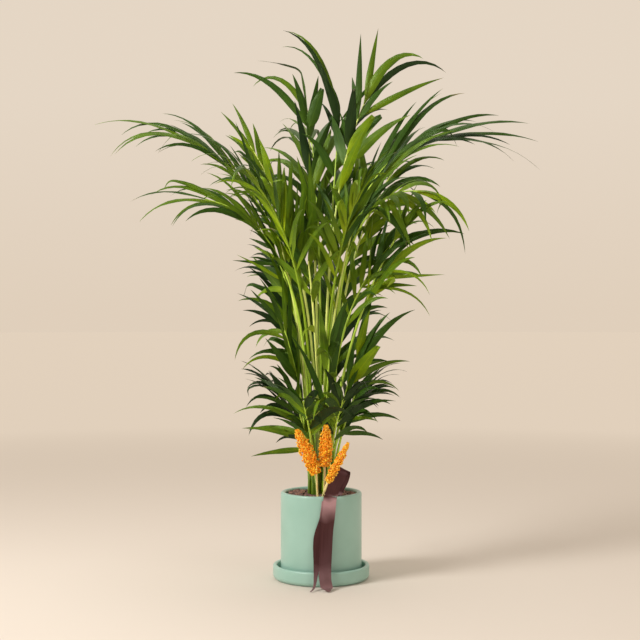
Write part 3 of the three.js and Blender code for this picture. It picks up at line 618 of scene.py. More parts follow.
@dataclass(frozen=True)
class StageFinish:
    """The plain pale floor, which far off fades to black and glows in the wall's tone: no line shows from the
    front.
    """

    base: tuple[int, int, int] = (224, 214, 203)
    # far: the colour that the floor glows with far off, a painted glow though the floor is no lamp.
    far: tuple[int, int, int] = (221, 204, 184)
    near_to: float = 0.5
    far_from: float = 3.2

    def material(self) -> bpy.types.Material:
        """Build the floor's material from the distance to its middle.

        Returns:
            The new material.
        """
        paint = Paint("pale_floor")
        distance = paint.node("VectorMath")
        distance.operation = "LENGTH"
        paint.link(paint.coordinates("Object"), distance.inputs[0])
        # Painted glow: with the distance from the middle, the base colour fades to black and the emission in
        # the far colour grows.
        glow_share = paint.ramp(distance.outputs["Value"], self.near_to, self.far_from)
        paint.colour(paint.blend(glow_share, linear(*self.base), linear(0, 0, 0)))
        paint.link(glow_share, paint.shader.inputs["Emission Strength"])
        paint.set(Emission_Color=linear(*self.far), Roughness=0.8, Specular_IOR_Level=0.1)
        return paint.material


def select_nothing() -> None:
    """Deselect every object, so that an operator acts only on what comes next."""
    bpy.ops.object.select_all(action="DESELECT")


def pick_only(piece: bpy.types.Object) -> None:
    """Make one object the only selected one, and the active one.

    Args:
        piece: the object.
    """
    select_nothing()
    piece.select_set(True)
    bpy.context.view_layer.objects.active = piece


def smooth(piece: bpy.types.Object, degrees: float) -> None:
    """Shade an object smooth, with sharp edges where it bends by more than an angle."""
    pick_only(piece)
    bpy.ops.object.shade_smooth_by_angle(angle=math.radians(degrees))


def settle(piece: bpy.types.Object) -> None:
    """Move an object's place, turn and size into its mesh."""
    pick_only(piece)
    bpy.ops.object.transform_apply(location=True, rotation=True, scale=True)


def add_cylinder(name: str, sides: int, radius: float, bottom: Vector, height: float) -> bpy.types.Object:
    """Add an upright cylinder, with its place in its mesh and its measures in millimetres.

    Args:
        name: the object's name.
        sides: how many sides it has.
        radius: its radius.
        bottom: the middle of its underside.
        height: how high it is.

    Returns:
        The new object.
    """
    select_nothing()
    bpy.ops.mesh.primitive_cylinder_add(
        vertices=sides, radius=radius * MM, depth=height * MM, location=(bottom + UP * (height / 2)) * MM)
    made = bpy.context.active_object
    made.name = name
    made.data.name = name
    settle(made)
    return made


def hand_over(piece: bpy.types.Object, slot: str, *nodes: str) -> None:
    """Attach a finished piece to the body, hide the CAD nodes that it stands for, and log it.

    Args:
        piece: the finished piece.
        slot: not used.
        *nodes: the CAD nodes that it stands for.
    """
    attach(piece, BODY)
    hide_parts(*nodes)
    LOG.info("%s: %d faces", piece.name, len(piece.data.polygons))


class Batch:
    """The points, faces and finishes of many small shapes that become one mesh."""

    def __init__(self) -> None:
        """Start with nothing in it."""
        self.points: list[tuple[float, float, float]] = []
        self.faces: list[tuple[int, ...]] = []
        self.slots: list[int] = []
        self.places: list[tuple[float, float]] = []

    def add(self, points: Sequence[Vector], faces: Sequence[tuple[int, ...]], slot: int,
            places: Sequence[tuple[float, float]] | None = None) -> None:
        """Add a shape.

        Args:
            points: its points in millimetres.
            faces: the indices of each face's points.
            slot: the index of its material.
            places: where each point lies on the shape's own map.
        """
        start = len(self.points)
        self.points.extend((p.x * MM, p.y * MM, p.z * MM) for p in points)
        self.faces.extend(tuple(start + i for i in face) for face in faces)
        self.slots.extend([slot] * len(faces))
        self.places.extend(places or [(0.5, 0.0)] * len(points))

    def piece(self, name: str, materials: Sequence[bpy.types.Material], degrees: float) -> bpy.types.Object:
        """Make one object of all that was added.

        Args:
            name: the object's name.
            materials: the finishes that the slots count.
            degrees: the angle past which an edge stays sharp.

        Returns:
            The new object.
        """
        mesh = bpy.data.meshes.new(name)
        mesh.from_pydata(self.points, [], self.faces)
        for material in materials:
            mesh.materials.append(material)
        mesh.polygons.foreach_set("material_index", self.slots)
        layer = mesh.uv_layers.new(name="UVMap")
        corners = np.empty(len(mesh.loops), dtype=np.int32)
        mesh.loops.foreach_get("vertex_index", corners)
        layer.data.foreach_set("uv", np.array(self.places, dtype=np.float32)[corners].ravel())
        mesh.update()
        made = bpy.data.objects.new(name, mesh)
        bpy.context.scene.collection.objects.link(made)
        smooth(made, degrees)
        return made


def tube_faces(rings: int, sides: int) -> list[tuple[int, ...]]:
    """Give the faces of a tube that is closed at both ends, over rings of the same number of points.

    Args:
        rings: how many rings it has.
        sides: how many points a ring has.

    Returns:
        The indices of each face's points.
    """
    faces = [tuple(reversed(range(sides)))]
    for ring in range(rings - 1):
        a = ring * sides
        b = a + sides
        faces.extend((a + k, a + (k + 1) % sides, b + (k + 1) % sides, b + k) for k in range(sides))
    last = (rings - 1) * sides
    faces.append(tuple(range(last, last + sides)))
    return faces


def ring_at(centre: Vector, u: Vector, v: Vector, radius: float, sides: int) -> list[Vector]:
    """Give a ring of points round a centre, turning from u to v."""
    turns = (2.0 * math.pi * k / sides for k in range(sides))
    return [centre + (u * math.cos(a) + v * math.sin(a)) * radius for a in turns]


@dataclass(frozen=True)
class Shaper:
    """Selects and shapes the mesh of one object in edit mode, as by hand."""

    piece: bpy.types.Object

    def __enter__(self) -> "Shaper":
        """Go into edit mode with nothing selected.

        Returns:
            This shaper.
        """
        pick_only(self.piece)
        bpy.ops.object.mode_set(mode="EDIT")
        bpy.ops.mesh.select_all(action="DESELECT")
        return self

    def __exit__(self, *_: object) -> None:
        """Go back to object mode."""
        bpy.ops.object.mode_set(mode="OBJECT")

    def faces(self, wanted: Callable[[bmesh.types.BMFace], bool]) -> None:
        """Select only the faces that a test picks.

        Args:
            wanted: the test of a face.
        """
        bpy.ops.mesh.select_all(action="DESELECT")
        bpy.ops.mesh.select_mode(type="FACE")
        mesh = bmesh.from_edit_mesh(self.piece.data)
        for face in mesh.faces:
            face.select_set(wanted(face))
        bmesh.update_edit_mesh(self.piece.data)

    def edges(self, wanted: Callable[[bmesh.types.BMEdge], bool]) -> None:
        """Select only the edges that a test picks.

        Args:
            wanted: the test of an edge.
        """
        bpy.ops.mesh.select_all(action="DESELECT")
        bpy.ops.mesh.select_mode(type="EDGE")
        mesh = bmesh.from_edit_mesh(self.piece.data)
        for edge in mesh.edges:
            edge.select_set(wanted(edge))
        bmesh.update_edit_mesh(self.piece.data)

    def raise_face(self, height: float, scale: float = 1.0, centre: Vector = Vector((0, 0, 0))) -> None:
        """Extrude the selected face by a height in millimetres, and scale its end about an axis.

        Args:
            height: how far up it goes, or down where it is negative.
            scale: how wide the end is beside the start.
            centre: a point in metres on the upright axis of the scaling.
        """
        bpy.ops.mesh.extrude_region_move(TRANSFORM_OT_translate={"value": (0.0, 0.0, height * MM)})
        if scale != 1.0:
            bpy.ops.transform.resize(value=(scale, scale, 1.0), center_override=tuple(centre))


@dataclass(frozen=True)
class Vessel:
    """The sizes of a round vessel, and how round its foot and lip are, in millimetres."""

    radius: float
    bottom: float
    top: float
    wall: float
    floor: float
    foot: float
    lip: float


@dataclass
class Crockery:
    """The round glazed pot and the saucer under it."""

    saucer: Vessel = Vessel(radius=90.5, bottom=0.0, top=27.0, wall=8.0, floor=7.0, foot=9.0, lip=3.0)
    pot: Vessel = Vessel(radius=76.0, bottom=7.0 + GAP, top=163.0, wall=9.0, floor=9.0, foot=5.0, lip=4.0)
    sides: int = 128
    glaze: GlazeFinish = field(default_factory=GlazeFinish)

    def vessel(self, name: str, sizes: Vessel, node: str) -> None:
        """Turn a round vessel out of a cylinder, with a rounded foot and rim, and hand it over.

        Args:
            name: the object's name.
            sizes: the vessel's sizes.
            node: the CAD node that it stands for.
        """
        height = sizes.top - sizes.bottom
        hollow = sizes.radius - sizes.wall
        made = add_cylinder(name, self.sides, sizes.radius, UP * sizes.bottom, height)

        def at_height(z: float) -> Callable[[bmesh.types.BMFace], bool]:
            """Give a test for level faces at a height."""
            return lambda face: (abs(face.normal.z) > 0.9
                                 and abs(face.calc_center_median().z - z * MM) < SAME_HEIGHT)

        def circle(z: float, out: float) -> Callable[[bmesh.types.BMEdge], bool]:
            """Give a test for the edges of a level circle.

            Args:
                z: the circle's height in millimetres.
                out: its radius in millimetres.

            Returns:
                A test that is true for its edges.
            """
            return lambda edge: all(
                abs(v.co.z - z * MM) < SAME_HEIGHT and abs(v.co.xy.length - out * MM) < SAME_RADIUS
                for v in edge.verts)

        with Shaper(made) as shaper:
            shaper.faces(at_height(sizes.top))
            bpy.ops.mesh.inset(thickness=sizes.wall * MM)
            shaper.raise_face(sizes.floor - height)
            for edges, offset, segments in (
                    (circle(sizes.top, sizes.radius), sizes.lip, 6),
                    (circle(sizes.top, hollow), sizes.lip, 6),
                    (circle(sizes.bottom, sizes.radius), sizes.foot, 8),
                    (circle(sizes.bottom + sizes.floor, hollow), sizes.lip, 5)):
                shaper.edges(edges)
                bpy.ops.mesh.bevel(offset=offset * MM, segments=segments, profile=0.5)
        smooth(made, 30)
        made.data.materials.append(self.glaze.material())
        hand_over(made, "glaze", node)

    def build(self) -> None:
        """Make the saucer and the pot."""
        self.vessel("glazed_saucer", self.saucer, "saucer")
        self.vessel("glazed_pot", self.pot, "pot")


@dataclass(frozen=True)
class Cane:
    """Where a cane stands in the clump and how high it rises over the fill."""

    heading: float
    ring: float
    height: float


CANES = {
    "middle": Cane(0, 0, 44),
    "left": Cane(178, 18, 30),
    "front_left": Cane(238, 18, 26),
    "front_right": Cane(298, 18, 30),
    "right": Cane(358, 18, 34),
    "back_right": Cane(58, 18, 38),
    "back_left": Cane(118, 18, 36),
}


def cane_centre(name: str) -> Vector:
    """Give the point on the fill that a cane stands on."""
    cane = CANES[name]
    return level(cane.heading) * cane.ring + UP * SOIL_TOP


@dataclass
class Clump:
    """The short green canes: a ringed core with a fibrous cone on top, wrapped in its stalks' sheaths."""

    radius: float = 3.3
    foot: float = 3.8
    sides: int = 20
    rings: int = 3
    steps_per_ring: int = 3
    ridge: float = 0.35
    ridge_depth: float = 0.5
    cone: float = 6.0
    cone_steps: tuple[tuple[float, float], ...] = ((0.28, 0.94), (0.34, 0.72), (0.38, 0.5))
    finish: CaneFinish = field(default_factory=CaneFinish)
    sheath: tuple[float, float] = (3.1, 2.7)
    sheath_bulge: float = 0.5
    sheath_sides: int = 12
    sheath_rings: int = 8
    sheath_map: tuple[float, float] = (0.1, 0.2)
    sheath_greens: tuple[Green, ...] = (Green.MID, Green.FRESH, Green.BRIGHT)

    def sheaths(self, name: str, materials: Sequence[bpy.types.Material]) -> None:
        """Wrap a cane in the sheaths that its stalks rise from, and hand them over.

        Args:
            name: the cane's name in the clump.
            materials: the finishes of the sheaths.
        """
        batch = Batch()
        seats = [sizes.seat for sizes in FRONDS.values() if sizes.cane == name]
        for index, seat in enumerate(seats):
            seed = index * 5 + CANES[name].heading
            points: list[Vector] = []
            places: list[tuple[float, float]] = []
            for ring in range(self.sheath_rings + 1):
                t = ring / self.sheath_rings
                bulge = self.sheath_bulge * math.sin(math.pi * t) * chance(seed)
                spot = cane_centre(name) + level(seat) * (STALK_SEAT + bulge)
                spot += UP * mix(GAP, CANES[name].height + GAP, t)
                points.extend(ring_at(spot, *LEVEL_AXES, mix(*self.sheath, t), self.sheath_sides))
                along = mix(*self.sheath_map, t)
                places.extend((k / self.sheath_sides, along) for k in range(self.sheath_sides))
            faces = tube_faces(self.sheath_rings + 1, self.sheath_sides)
            batch.add(points, faces, pick(seed + 1, len(materials)), places)
        hand_over(batch.piece(f"sheaths_{name}", materials, 50), "cane", f"cane_{name}")

    def cane(self, name: str, material: bpy.types.Material) -> None:
        """Extrude one cane ring by ring, and hand it over.

        Args:
            name: the cane's name in the clump.
            material: the finish that all canes share.
        """
        bottom = cane_centre(name) + UP * GAP
        steps = self.rings * self.steps_per_ring
        rise = (CANES[name].height - GAP) / steps
        made = add_cylinder(f"green_cane_{name}", self.sides, self.foot, bottom, rise)
        axis = Vector((bottom.x, bottom.y, 0)) * MM
        top = (bottom.z + rise) * MM
        narrow = (self.radius / self.foot) ** (1.0 / (steps - 1))
        swell = 1.0 + self.ridge / self.radius
        with Shaper(made) as shaper:
            shaper.faces(lambda face: face.normal.z > 0.9 and face.calc_center_median().z > top - SAME_HEIGHT)
            for index in range(steps - 1):
                if index % self.steps_per_ring != 1:
                    shaper.raise_face(rise, narrow, axis)
                    continue
                shaper.raise_face(rise, narrow * swell, axis)
                shaper.raise_face(self.ridge_depth, 1.0 / swell, axis)
                bpy.ops.transform.translate(value=(0, 0, -self.ridge_depth * MM))
            for share, scale in self.cone_steps:
                shaper.raise_face(share * self.cone, scale, axis)
        smooth(made, 50)
        made.data.materials.append(material)
        hand_over(made, "cane", f"cane_{name}")

    def build(self) -> None:
        """Make every cane and its sheaths."""
        material = self.finish.material()
        sheath_looks = [StalkFinish(green, name="sheath").material() for green in self.sheath_greens]
        for name in CANES:
            self.cane(name, material)
            self.sheaths(name, sheath_looks)


@dataclass(frozen=True)
class Attempt:
    """A way that a leaflet was tried: how far it swung, and how much of its length it kept."""

    swing: float
    size: float


ATTEMPTS = (
    Attempt(0, 1), Attempt(11, 1), Attempt(-11, 1), Attempt(22, 0.94),
    Attempt(-22, 0.94), Attempt(6, 0.8), Attempt(-14, 0.78), Attempt(0, 0.62),
)


@dataclass(frozen=True)
class Blade:
    """A large leaflet near a frond's tip that is set one by one."""

    at: float
    lean: float
    depth: float
    length: float
    width: float
    droop: float
    fold: float = 0.0
    fold_turn: float = 0.0
    face: float = FRONT_HEADING


@dataclass(frozen=True)
class FrondSizes:
    """A frond: its cane and the seat on it, where it heads, its lean at foot and tip, and its leaflets."""

    cane: str
    seat: float
    heading: float
    lean: tuple[float, float]
    power: float
    length: float
    bare: float = 0.52
    pairs: int = 7
    leaf: float = 150
    tip_leaf: float = 150
    width: float = 14
    open: float = 30
    tip_open: float = 12
    lift: float = 22
    droop: float = 1
    roll: float = 0
    tone: float = 0.3
    stalk_tone: float = 0.8
    between: float = 1.0
    fold_turn: float = -70
    blades: tuple[Blade, ...] = ()


FRONDS = {
    "far_left": FrondSizes(
        "left", 150, 180, (3, 66), 2.7, 706, bare=0.6, leaf=120, tip_leaf=222, width=11,
        open=16, tip_open=6, lift=30, droop=0.85, roll=-45, tone=0.44, stalk_tone=0.8, between=0.6),
    "second_left": FrondSizes(
        "left", 294, 192, (3, 86), 3.2, 604, bare=0.6, pairs=6, leaf=120, tip_leaf=185, width=11,
        open=20, tip_open=9, droop=1.05, roll=-50, tone=0.5, stalk_tone=0.85, between=0.3),
    "inner_left": FrondSizes(
        "middle", 164, 166, (2, 34), 2, 640, bare=0.56, pairs=8, leaf=140, tip_leaf=110,
        open=24, tip_open=7, droop=0.4, roll=-60, tone=0.68, stalk_tone=1, between=0.5, blades=(
            Blade(0.57, -16, -12, 190, 16, 0.15),
            Blade(0.62, 4, -10, 170, 15, 0.2))),
    "tall_left": FrondSizes(
        "back_left", 20, 104, (2, 18), 1.5, 728, bare=0.58, pairs=3, leaf=160, tip_leaf=130, width=19,
        open=18, tip_open=10, droop=0.3, tone=0.34, stalk_tone=0.95, between=0.3, blades=(
            Blade(0.93, -33, 4, 196, 15, 0.95),
            Blade(0.97, -30, -8, 160, 12, 1.9),
            Blade(0.98, -11, 10, 176, 13, 0.3, fold=0.46, fold_turn=70, face=200),
            Blade(0.92, 17, -8, 104, 26, 0.2, fold=0.8, fold_turn=112),
            Blade(0.78, -10, 12, 168, 17, 0.25),
            Blade(0.74, 14, 8, 150, 18, 0.3, fold=0.78, fold_turn=80),
            Blade(0.55, -3, -6, 215, 19, 0.08),
            Blade(0.64, -12, -14, 150, 16, 0.15))),
    "tall_centre": FrondSizes(
        "middle", 20, 50, (1, 36), 2.6, 740, bare=0.56, pairs=3, leaf=130, tip_leaf=110, width=18,
        open=34, tip_open=20, droop=0.5, tone=0.38, stalk_tone=1, between=0.3, blades=(
            Blade(0.93, 2, 0, 168, 14, 0.05),
            Blade(0.99, 10, 5, 150, 14, 0.04),
            Blade(0.98, 22, -4, 168, 19, 1.7),
            Blade(0.99, 36, 6, 200, 14, 1.4),
            Blade(0.94, 58, -12, 180, 14, 0.2),
            Blade(0.84, 5, -10, 132, 23, 0.1, fold=0.82, fold_turn=115),
            Blade(0.82, 30, -14, 118, 22, 0.4, fold=0.76, fold_turn=100),
            Blade(0.86, 46, -18, 96, 24, 0.3, fold=0.8, fold_turn=90),
            Blade(0.78, 40, -4, 168, 21, 0.5),
            Blade(0.72, 20, -16, 150, 20, 0.3))),
    "tall_back": FrondSizes(
        "back_right", 164, 70, (2, 16), 1.4, 700, bare=0.6, pairs=3, leaf=120, tip_leaf=120, width=15,
        open=30, tip_open=20, droop=0.6, tone=0.28, stalk_tone=0.9, between=0.7, blades=(
            Blade(0.97, -11, 2, 226, 13, 1.6),
            Blade(0.95, -14, -6, 238, 13, 1.6),
            Blade(0.99, -17, 10, 220, 8, 1.35),
            Blade(0.95, -6, -8, 110, 15, 1.5),
            Blade(0.98, 38, 12, 190, 8, 0.25),
            Blade(0.9, 30, 22, 170, 12, 0.9))),
    "far_right": FrondSizes(
        "right", 68, 8, (2, 84), 4, 714, bare=0.6, pairs=9, leaf=150, tip_leaf=250, width=12,
        open=16, tip_open=7, lift=6, droop=0.65, roll=45, tone=0.38, between=0.5),
    "hanging_right": FrondSizes(
        "right", 212, -26, (3, 108), 4.8, 614, bare=0.64, pairs=3, leaf=130, tip_leaf=90,
        open=40, tip_open=30, droop=1.6, roll=30, tone=0.55, blades=(
            Blade(0.86, 128, -20, 100, 13, 0.9),
            Blade(0.9, 150, -14, 112, 13, 0.5),
            Blade(0.93, 122, -24, 122, 12, 1.2),
            Blade(0.95, 118, 10, 128, 12, 0.7),
            Blade(0.98, 96, -10, 138, 13, 1.2),
            Blade(0.99, 100, 16, 165, 8, 1.9),
            Blade(0.84, 108, 24, 110, 11, 1.2))),
    "broad_right": FrondSizes(
        "back_right", 308, 18, (3, 36), 2.2, 600, bare=0.58, pairs=6, tip_leaf=160, width=17,
        open=32, tip_open=16, roll=55, tone=0.57, stalk_tone=0.95, between=0.2),
    "reach_right": FrondSizes(
        "front_right", 92, -4, (3, 44), 2.2, 462, bare=0.6, pairs=4, leaf=125, tip_leaf=130, width=13,
        open=34, tip_open=16, droop=1.2, roll=45, tone=0.46, between=0.4, blades=(
            Blade(0.97, 58, -6, 158, 15, 0.7),
            Blade(0.86, 48, -18, 128, 14, 1.7),
            Blade(0.8, 84, -30, 116, 11, 0.15))),
    "front_left": FrondSizes(
        "front_left", 200, 226, (2, 50), 2.6, 580, bare=0.66, pairs=5, leaf=140, tip_leaf=180, width=12,
        open=34, tip_open=14, droop=1.2, roll=-20, tone=0.62, stalk_tone=0.45),
    "front_right": FrondSizes(
        "front_right", 164, 300, (2, 44), 2.4, 560, bare=0.66, pairs=5, leaf=135, tip_leaf=140,
        open=32, tip_open=14, droop=1.2, roll=20, tone=0.58, stalk_tone=0.45),
    "column_left": FrondSizes(
        "left", 78, 200, (3, 18), 1.6, 470, bare=0.7, pairs=3, leaf=120, tip_leaf=110, width=13,
        open=26, droop=0.8, roll=-50, tone=0.6, stalk_tone=0.95, between=0.4),
    "column_mid": FrondSizes(
        "middle", 308, 330, (2, 18), 1.6, 460, bare=0.62, pairs=3, tip_leaf=130, width=17,
        open=28, droop=0.7, tone=0.66, stalk_tone=1, between=0.3),
    "column_right": FrondSizes(
        "front_right", 20, -14, (5, 33), 1.3, 506, bare=0.6, pairs=3, leaf=165, tip_leaf=130, width=17,
        open=24, droop=0.7, roll=50, tone=0.6, between=0.3, blades=(
            Blade(0.74, 40, -8, 170, 17, 0.75),
            Blade(0.76, 66, 28, 112, 10, 0.55),
            Blade(0.77, 83, -4, 130, 8, 0.04),
            Blade(0.79, 74, -26, 120, 6, 1.3),
            Blade(0.73, 84, 12, 136, 6, 1.15),
            Blade(0.69, 48, -30, 112, 14, 0.3, fold=0.6, fold_turn=100))),
    "column_front": FrondSizes(
        "middle", 236, 250, (3, 20), 1.8, 400, bare=0.8, pairs=2, leaf=115, tip_leaf=110, width=15,
        open=40, droop=0.8, tone=0.6, stalk_tone=1, between=0.3, blades=(
            Blade(0.55, 34, -70, 150, 15, 0.7),
            Blade(0.66, -32, -72, 145, 15, 0.8),
            Blade(0.8, 10, -60, 150, 15, 0.6))),
    "shoulder_left": FrondSizes(
        "left", 222, 196, (4, 19), 1.3, 305, bare=0.45, pairs=2, leaf=130, tip_leaf=130, width=16,
        open=22, droop=0.6, roll=-45, tone=0.42, between=0.3, blades=(
            Blade(0.98, -48, 14, 108, 8, 0.35),
            Blade(0.95, -38, -24, 104, 10, 0.1),
            Blade(0.97, -68, -30, 74, 7, 0.9),
            Blade(0.92, -74, 26, 80, 12, 1.5),
            Blade(0.87, -58, -6, 132, 10, 2.1),
            Blade(0.8, -80, -38, 72, 8, 0.2),
            Blade(0.7, -56, -22, 118, 9, 1.2),
            Blade(0.6, -30, -34, 130, 17, 0.2))),
    "shoulder_high_left": FrondSizes(
        "back_left", 232, 172, (3, 22), 1.5, 440, bare=0.58, pairs=2, tip_leaf=130,
        open=18, tip_open=10, droop=0.4, roll=-50, tone=0.5, between=0.3, blades=(
            Blade(0.99, -62, 24, 62, 8, 0.1),
            Blade(0.94, -56, 30, 66, 9, 0.15),
            Blade(0.92, -84, -4, 92, 8, 0.02),
            Blade(0.84, -58, -10, 108, 7, 0.1),
            Blade(0.74, -37, 18, 130, 18, 0.15),
            Blade(0.8, -66, 34, 82, 12, 1.0))),
    "shoulder_right": FrondSizes(
        "right", 284, -10, (6, 22), 1.2, 262, bare=0.5, pairs=2, width=18,
        open=18, tip_open=10, droop=0.5, roll=45, tone=0.42, between=0.3, blades=(
            Blade(0.74, 27, -8, 178, 18, 0.75),
            Blade(0.66, 32, -26, 128, 26, 0.25, fold=0.82, fold_turn=95),
            Blade(0.8, 72, 30, 72, 9, 0.2),
            Blade(0.68, 54, 14, 134, 13, 0.6),
            Blade(0.6, 56, 22, 126, 9, 1.05),
            Blade(0.88, 12, -34, 120, 16, 0.2))),
    "shoulder_front": FrondSizes(
        "front_right", 236, 284, (4, 18), 1.4, 250, bare=0.4, pairs=2, leaf=150, tip_leaf=140, width=17,
        open=16, tip_open=10, droop=0.5, tone=0.46, between=0.3, blades=(
            Blade(0.76, 30, -68, 150, 15, 0.8),
            Blade(0.6, -36, -72, 140, 15, 0.9),
            Blade(0.92, 12, -58, 145, 15, 0.7))),
    "skirt_left": FrondSizes(
        "front_left", 128, 190, (8, 20), 1, 185, bare=0.3, pairs=2, leaf=80, tip_leaf=90, width=13,
        tip_open=18, droop=0.8, roll=-45, tone=0.26, between=0.4, blades=(
            Blade(0.76, -36, -4, 92, 16, 0.1),
            Blade(0.82, -52, 26, 108, 12, 0.3),
            Blade(0.7, -50, -28, 118, 10, 0.65),
            Blade(0.64, -62, 4, 136, 9, 0.8),
            Blade(0.6, -58, -34, 112, 10, 0.15),
            Blade(0.5, -76, 22, 122, 11, 0.4),
            Blade(0.44, -70, -12, 126, 12, 0.3),
            Blade(0.34, -92, -6, 110, 12, 0.15))),
    "skirt_right": FrondSizes(
        "right", 356, -8, (8, 23), 1.1, 165, bare=0.34, pairs=2, leaf=80, tip_leaf=90, width=13,
        tip_open=18, droop=0.8, roll=40, tone=0.26, between=0.4, blades=(
            Blade(0.74, 58, -22, 104, 10, 0.5),
            Blade(0.62, 66, 16, 118, 12, 0.75),
            Blade(0.68, 76, -36, 74, 8, 0.4),
            Blade(0.88, 34, 4, 84, 14, 0.3),
            Blade(0.5, 84, 26, 92, 10, 0.5))),
    "skirt_front_left": FrondSizes(
        "front_left", 272, 244, (9, 30), 1, 165, bare=0.42, pairs=4, leaf=105, tip_leaf=95, width=15,
        open=52, tip_open=24, lift=12, tone=0.28, between=0.6),
    "skirt_front_right": FrondSizes(
        "front_right", 308, 304, (9, 28), 1, 165, bare=0.42, pairs=4, leaf=105, tip_leaf=95, width=15,
        open=48, tip_open=24, lift=12, tone=0.28, between=0.6),
    "back_left": FrondSizes(
        "back_left", 304, 126, (3, 52), 2.2, 600, bare=0.56, tip_leaf=180, width=15,
        open=34, tip_open=14, droop=1.1, tone=0.42),
    "back_mid": FrondSizes(
        "middle", 92, 96, (2, 56), 2.6, 700, bare=0.58, pairs=8, leaf=160, tip_leaf=190, width=15,
        open=34, tip_open=14, droop=1.1, tone=0.46),
    "back_right": FrondSizes(
        "back_right", 236, 66, (3, 50), 2.2, 610, bare=0.56, tip_leaf=180, width=15,
        open=34, tip_open=14, droop=1.1, tone=0.42),
    "back_low_left": FrondSizes(
        "back_left", 88, 118, (6, 40), 1.5, 400, bare=0.36, pairs=8, leaf=160, tip_leaf=160, width=17,
        open=36, tip_open=16, droop=1.1, tone=0.25),
    "back_low_right": FrondSizes(
        "back_right", 92, 80, (6, 40), 1.5, 385, bare=0.36, pairs=8, leaf=160, tip_leaf=160, width=17,
        open=36, tip_open=16, droop=1.1, tone=0.25),
    "skirt_back_left": FrondSizes(
        "back_left", 160, 150, (12, 44), 1, 175, bare=0.45, pairs=6, leaf=120, tip_leaf=110, width=15,
        open=46, tip_open=20, droop=1.2, tone=0.15),
    "skirt_back_right": FrondSizes(
        "back_right", 20, 34, (12, 44), 1, 175, bare=0.45, pairs=6, leaf=120, tip_leaf=110, width=15,
        open=46, tip_open=20, droop=1.2, tone=0.15),
}


@dataclass(frozen=True)
class Stray:
    """How far a leaflet strays from its frond's figures, and how often one is folded over."""

    place: float = 0.22
    open: float = 6
    lift: float = 14
    length: float = 0.17
    width: float = 0.2
    twist: float = 24
    droop: float = 0.5
    fold: float = 0.08


STRAY = Stray()


@dataclass(frozen=True)
class LeafPlan:
    """A leaflet before it is placed: which side it is on, where, and its shape. Hand 0 is a set blade."""

    hand: int
    at: float
    length: float
    width: float
    droop: float
    fold: float
    fold_turn: float
    seed: float
    open: float = 0.0
    lift: float = 0.0
    twist: float = 0.0
    lean: float = 0.0
    depth: float = 0.0
    face: float = FRONT_HEADING


@dataclass(frozen=True)
class Station:
    """A place on a stalk or leaflet: its share of the way, point, direction, and side or upper face."""

    share: float
    point: Vector
    along: Vector
    across: Vector


def station_at(path: Sequence[Station], share: float) -> Station:
    """Give the place at a share of the way along a path of equal steps.

    Args:
        path: the places along it.
        share: how far along it, from 0 to 1.

    Returns:
        The place between the two nearest ones.
    """
    x = clamp(share) * (len(path) - 1)
    i = min(int(x), len(path) - 2)
    a, b = path[i], path[i + 1]
    t = x - i
    return Station(share, a.point.lerp(b.point, t), a.along.lerp(b.along, t).normalized(),
                   a.across.lerp(b.across, t).normalized())


@dataclass(frozen=True)
class Seeds:
    """How the seeds of chance are counted from a frond, a pair, a hand and a set blade."""

    frond: int = 131
    pair: int = 7
    right: int = 3
    blades: int = 90
    finer: int = 5000

    def of_pair(self, index: int, pair: int, hand: int) -> int:
        """Give the seed of a leaflet on one side of a pair."""
        return index * self.frond + pair * self.pair + (self.right if hand > 0 else 0)

    def of_blade(self, index: int, blade: int) -> int:
        """Give the seed of a set blade."""
        return index * self.frond + self.blades + blade


SEEDS = Seeds()


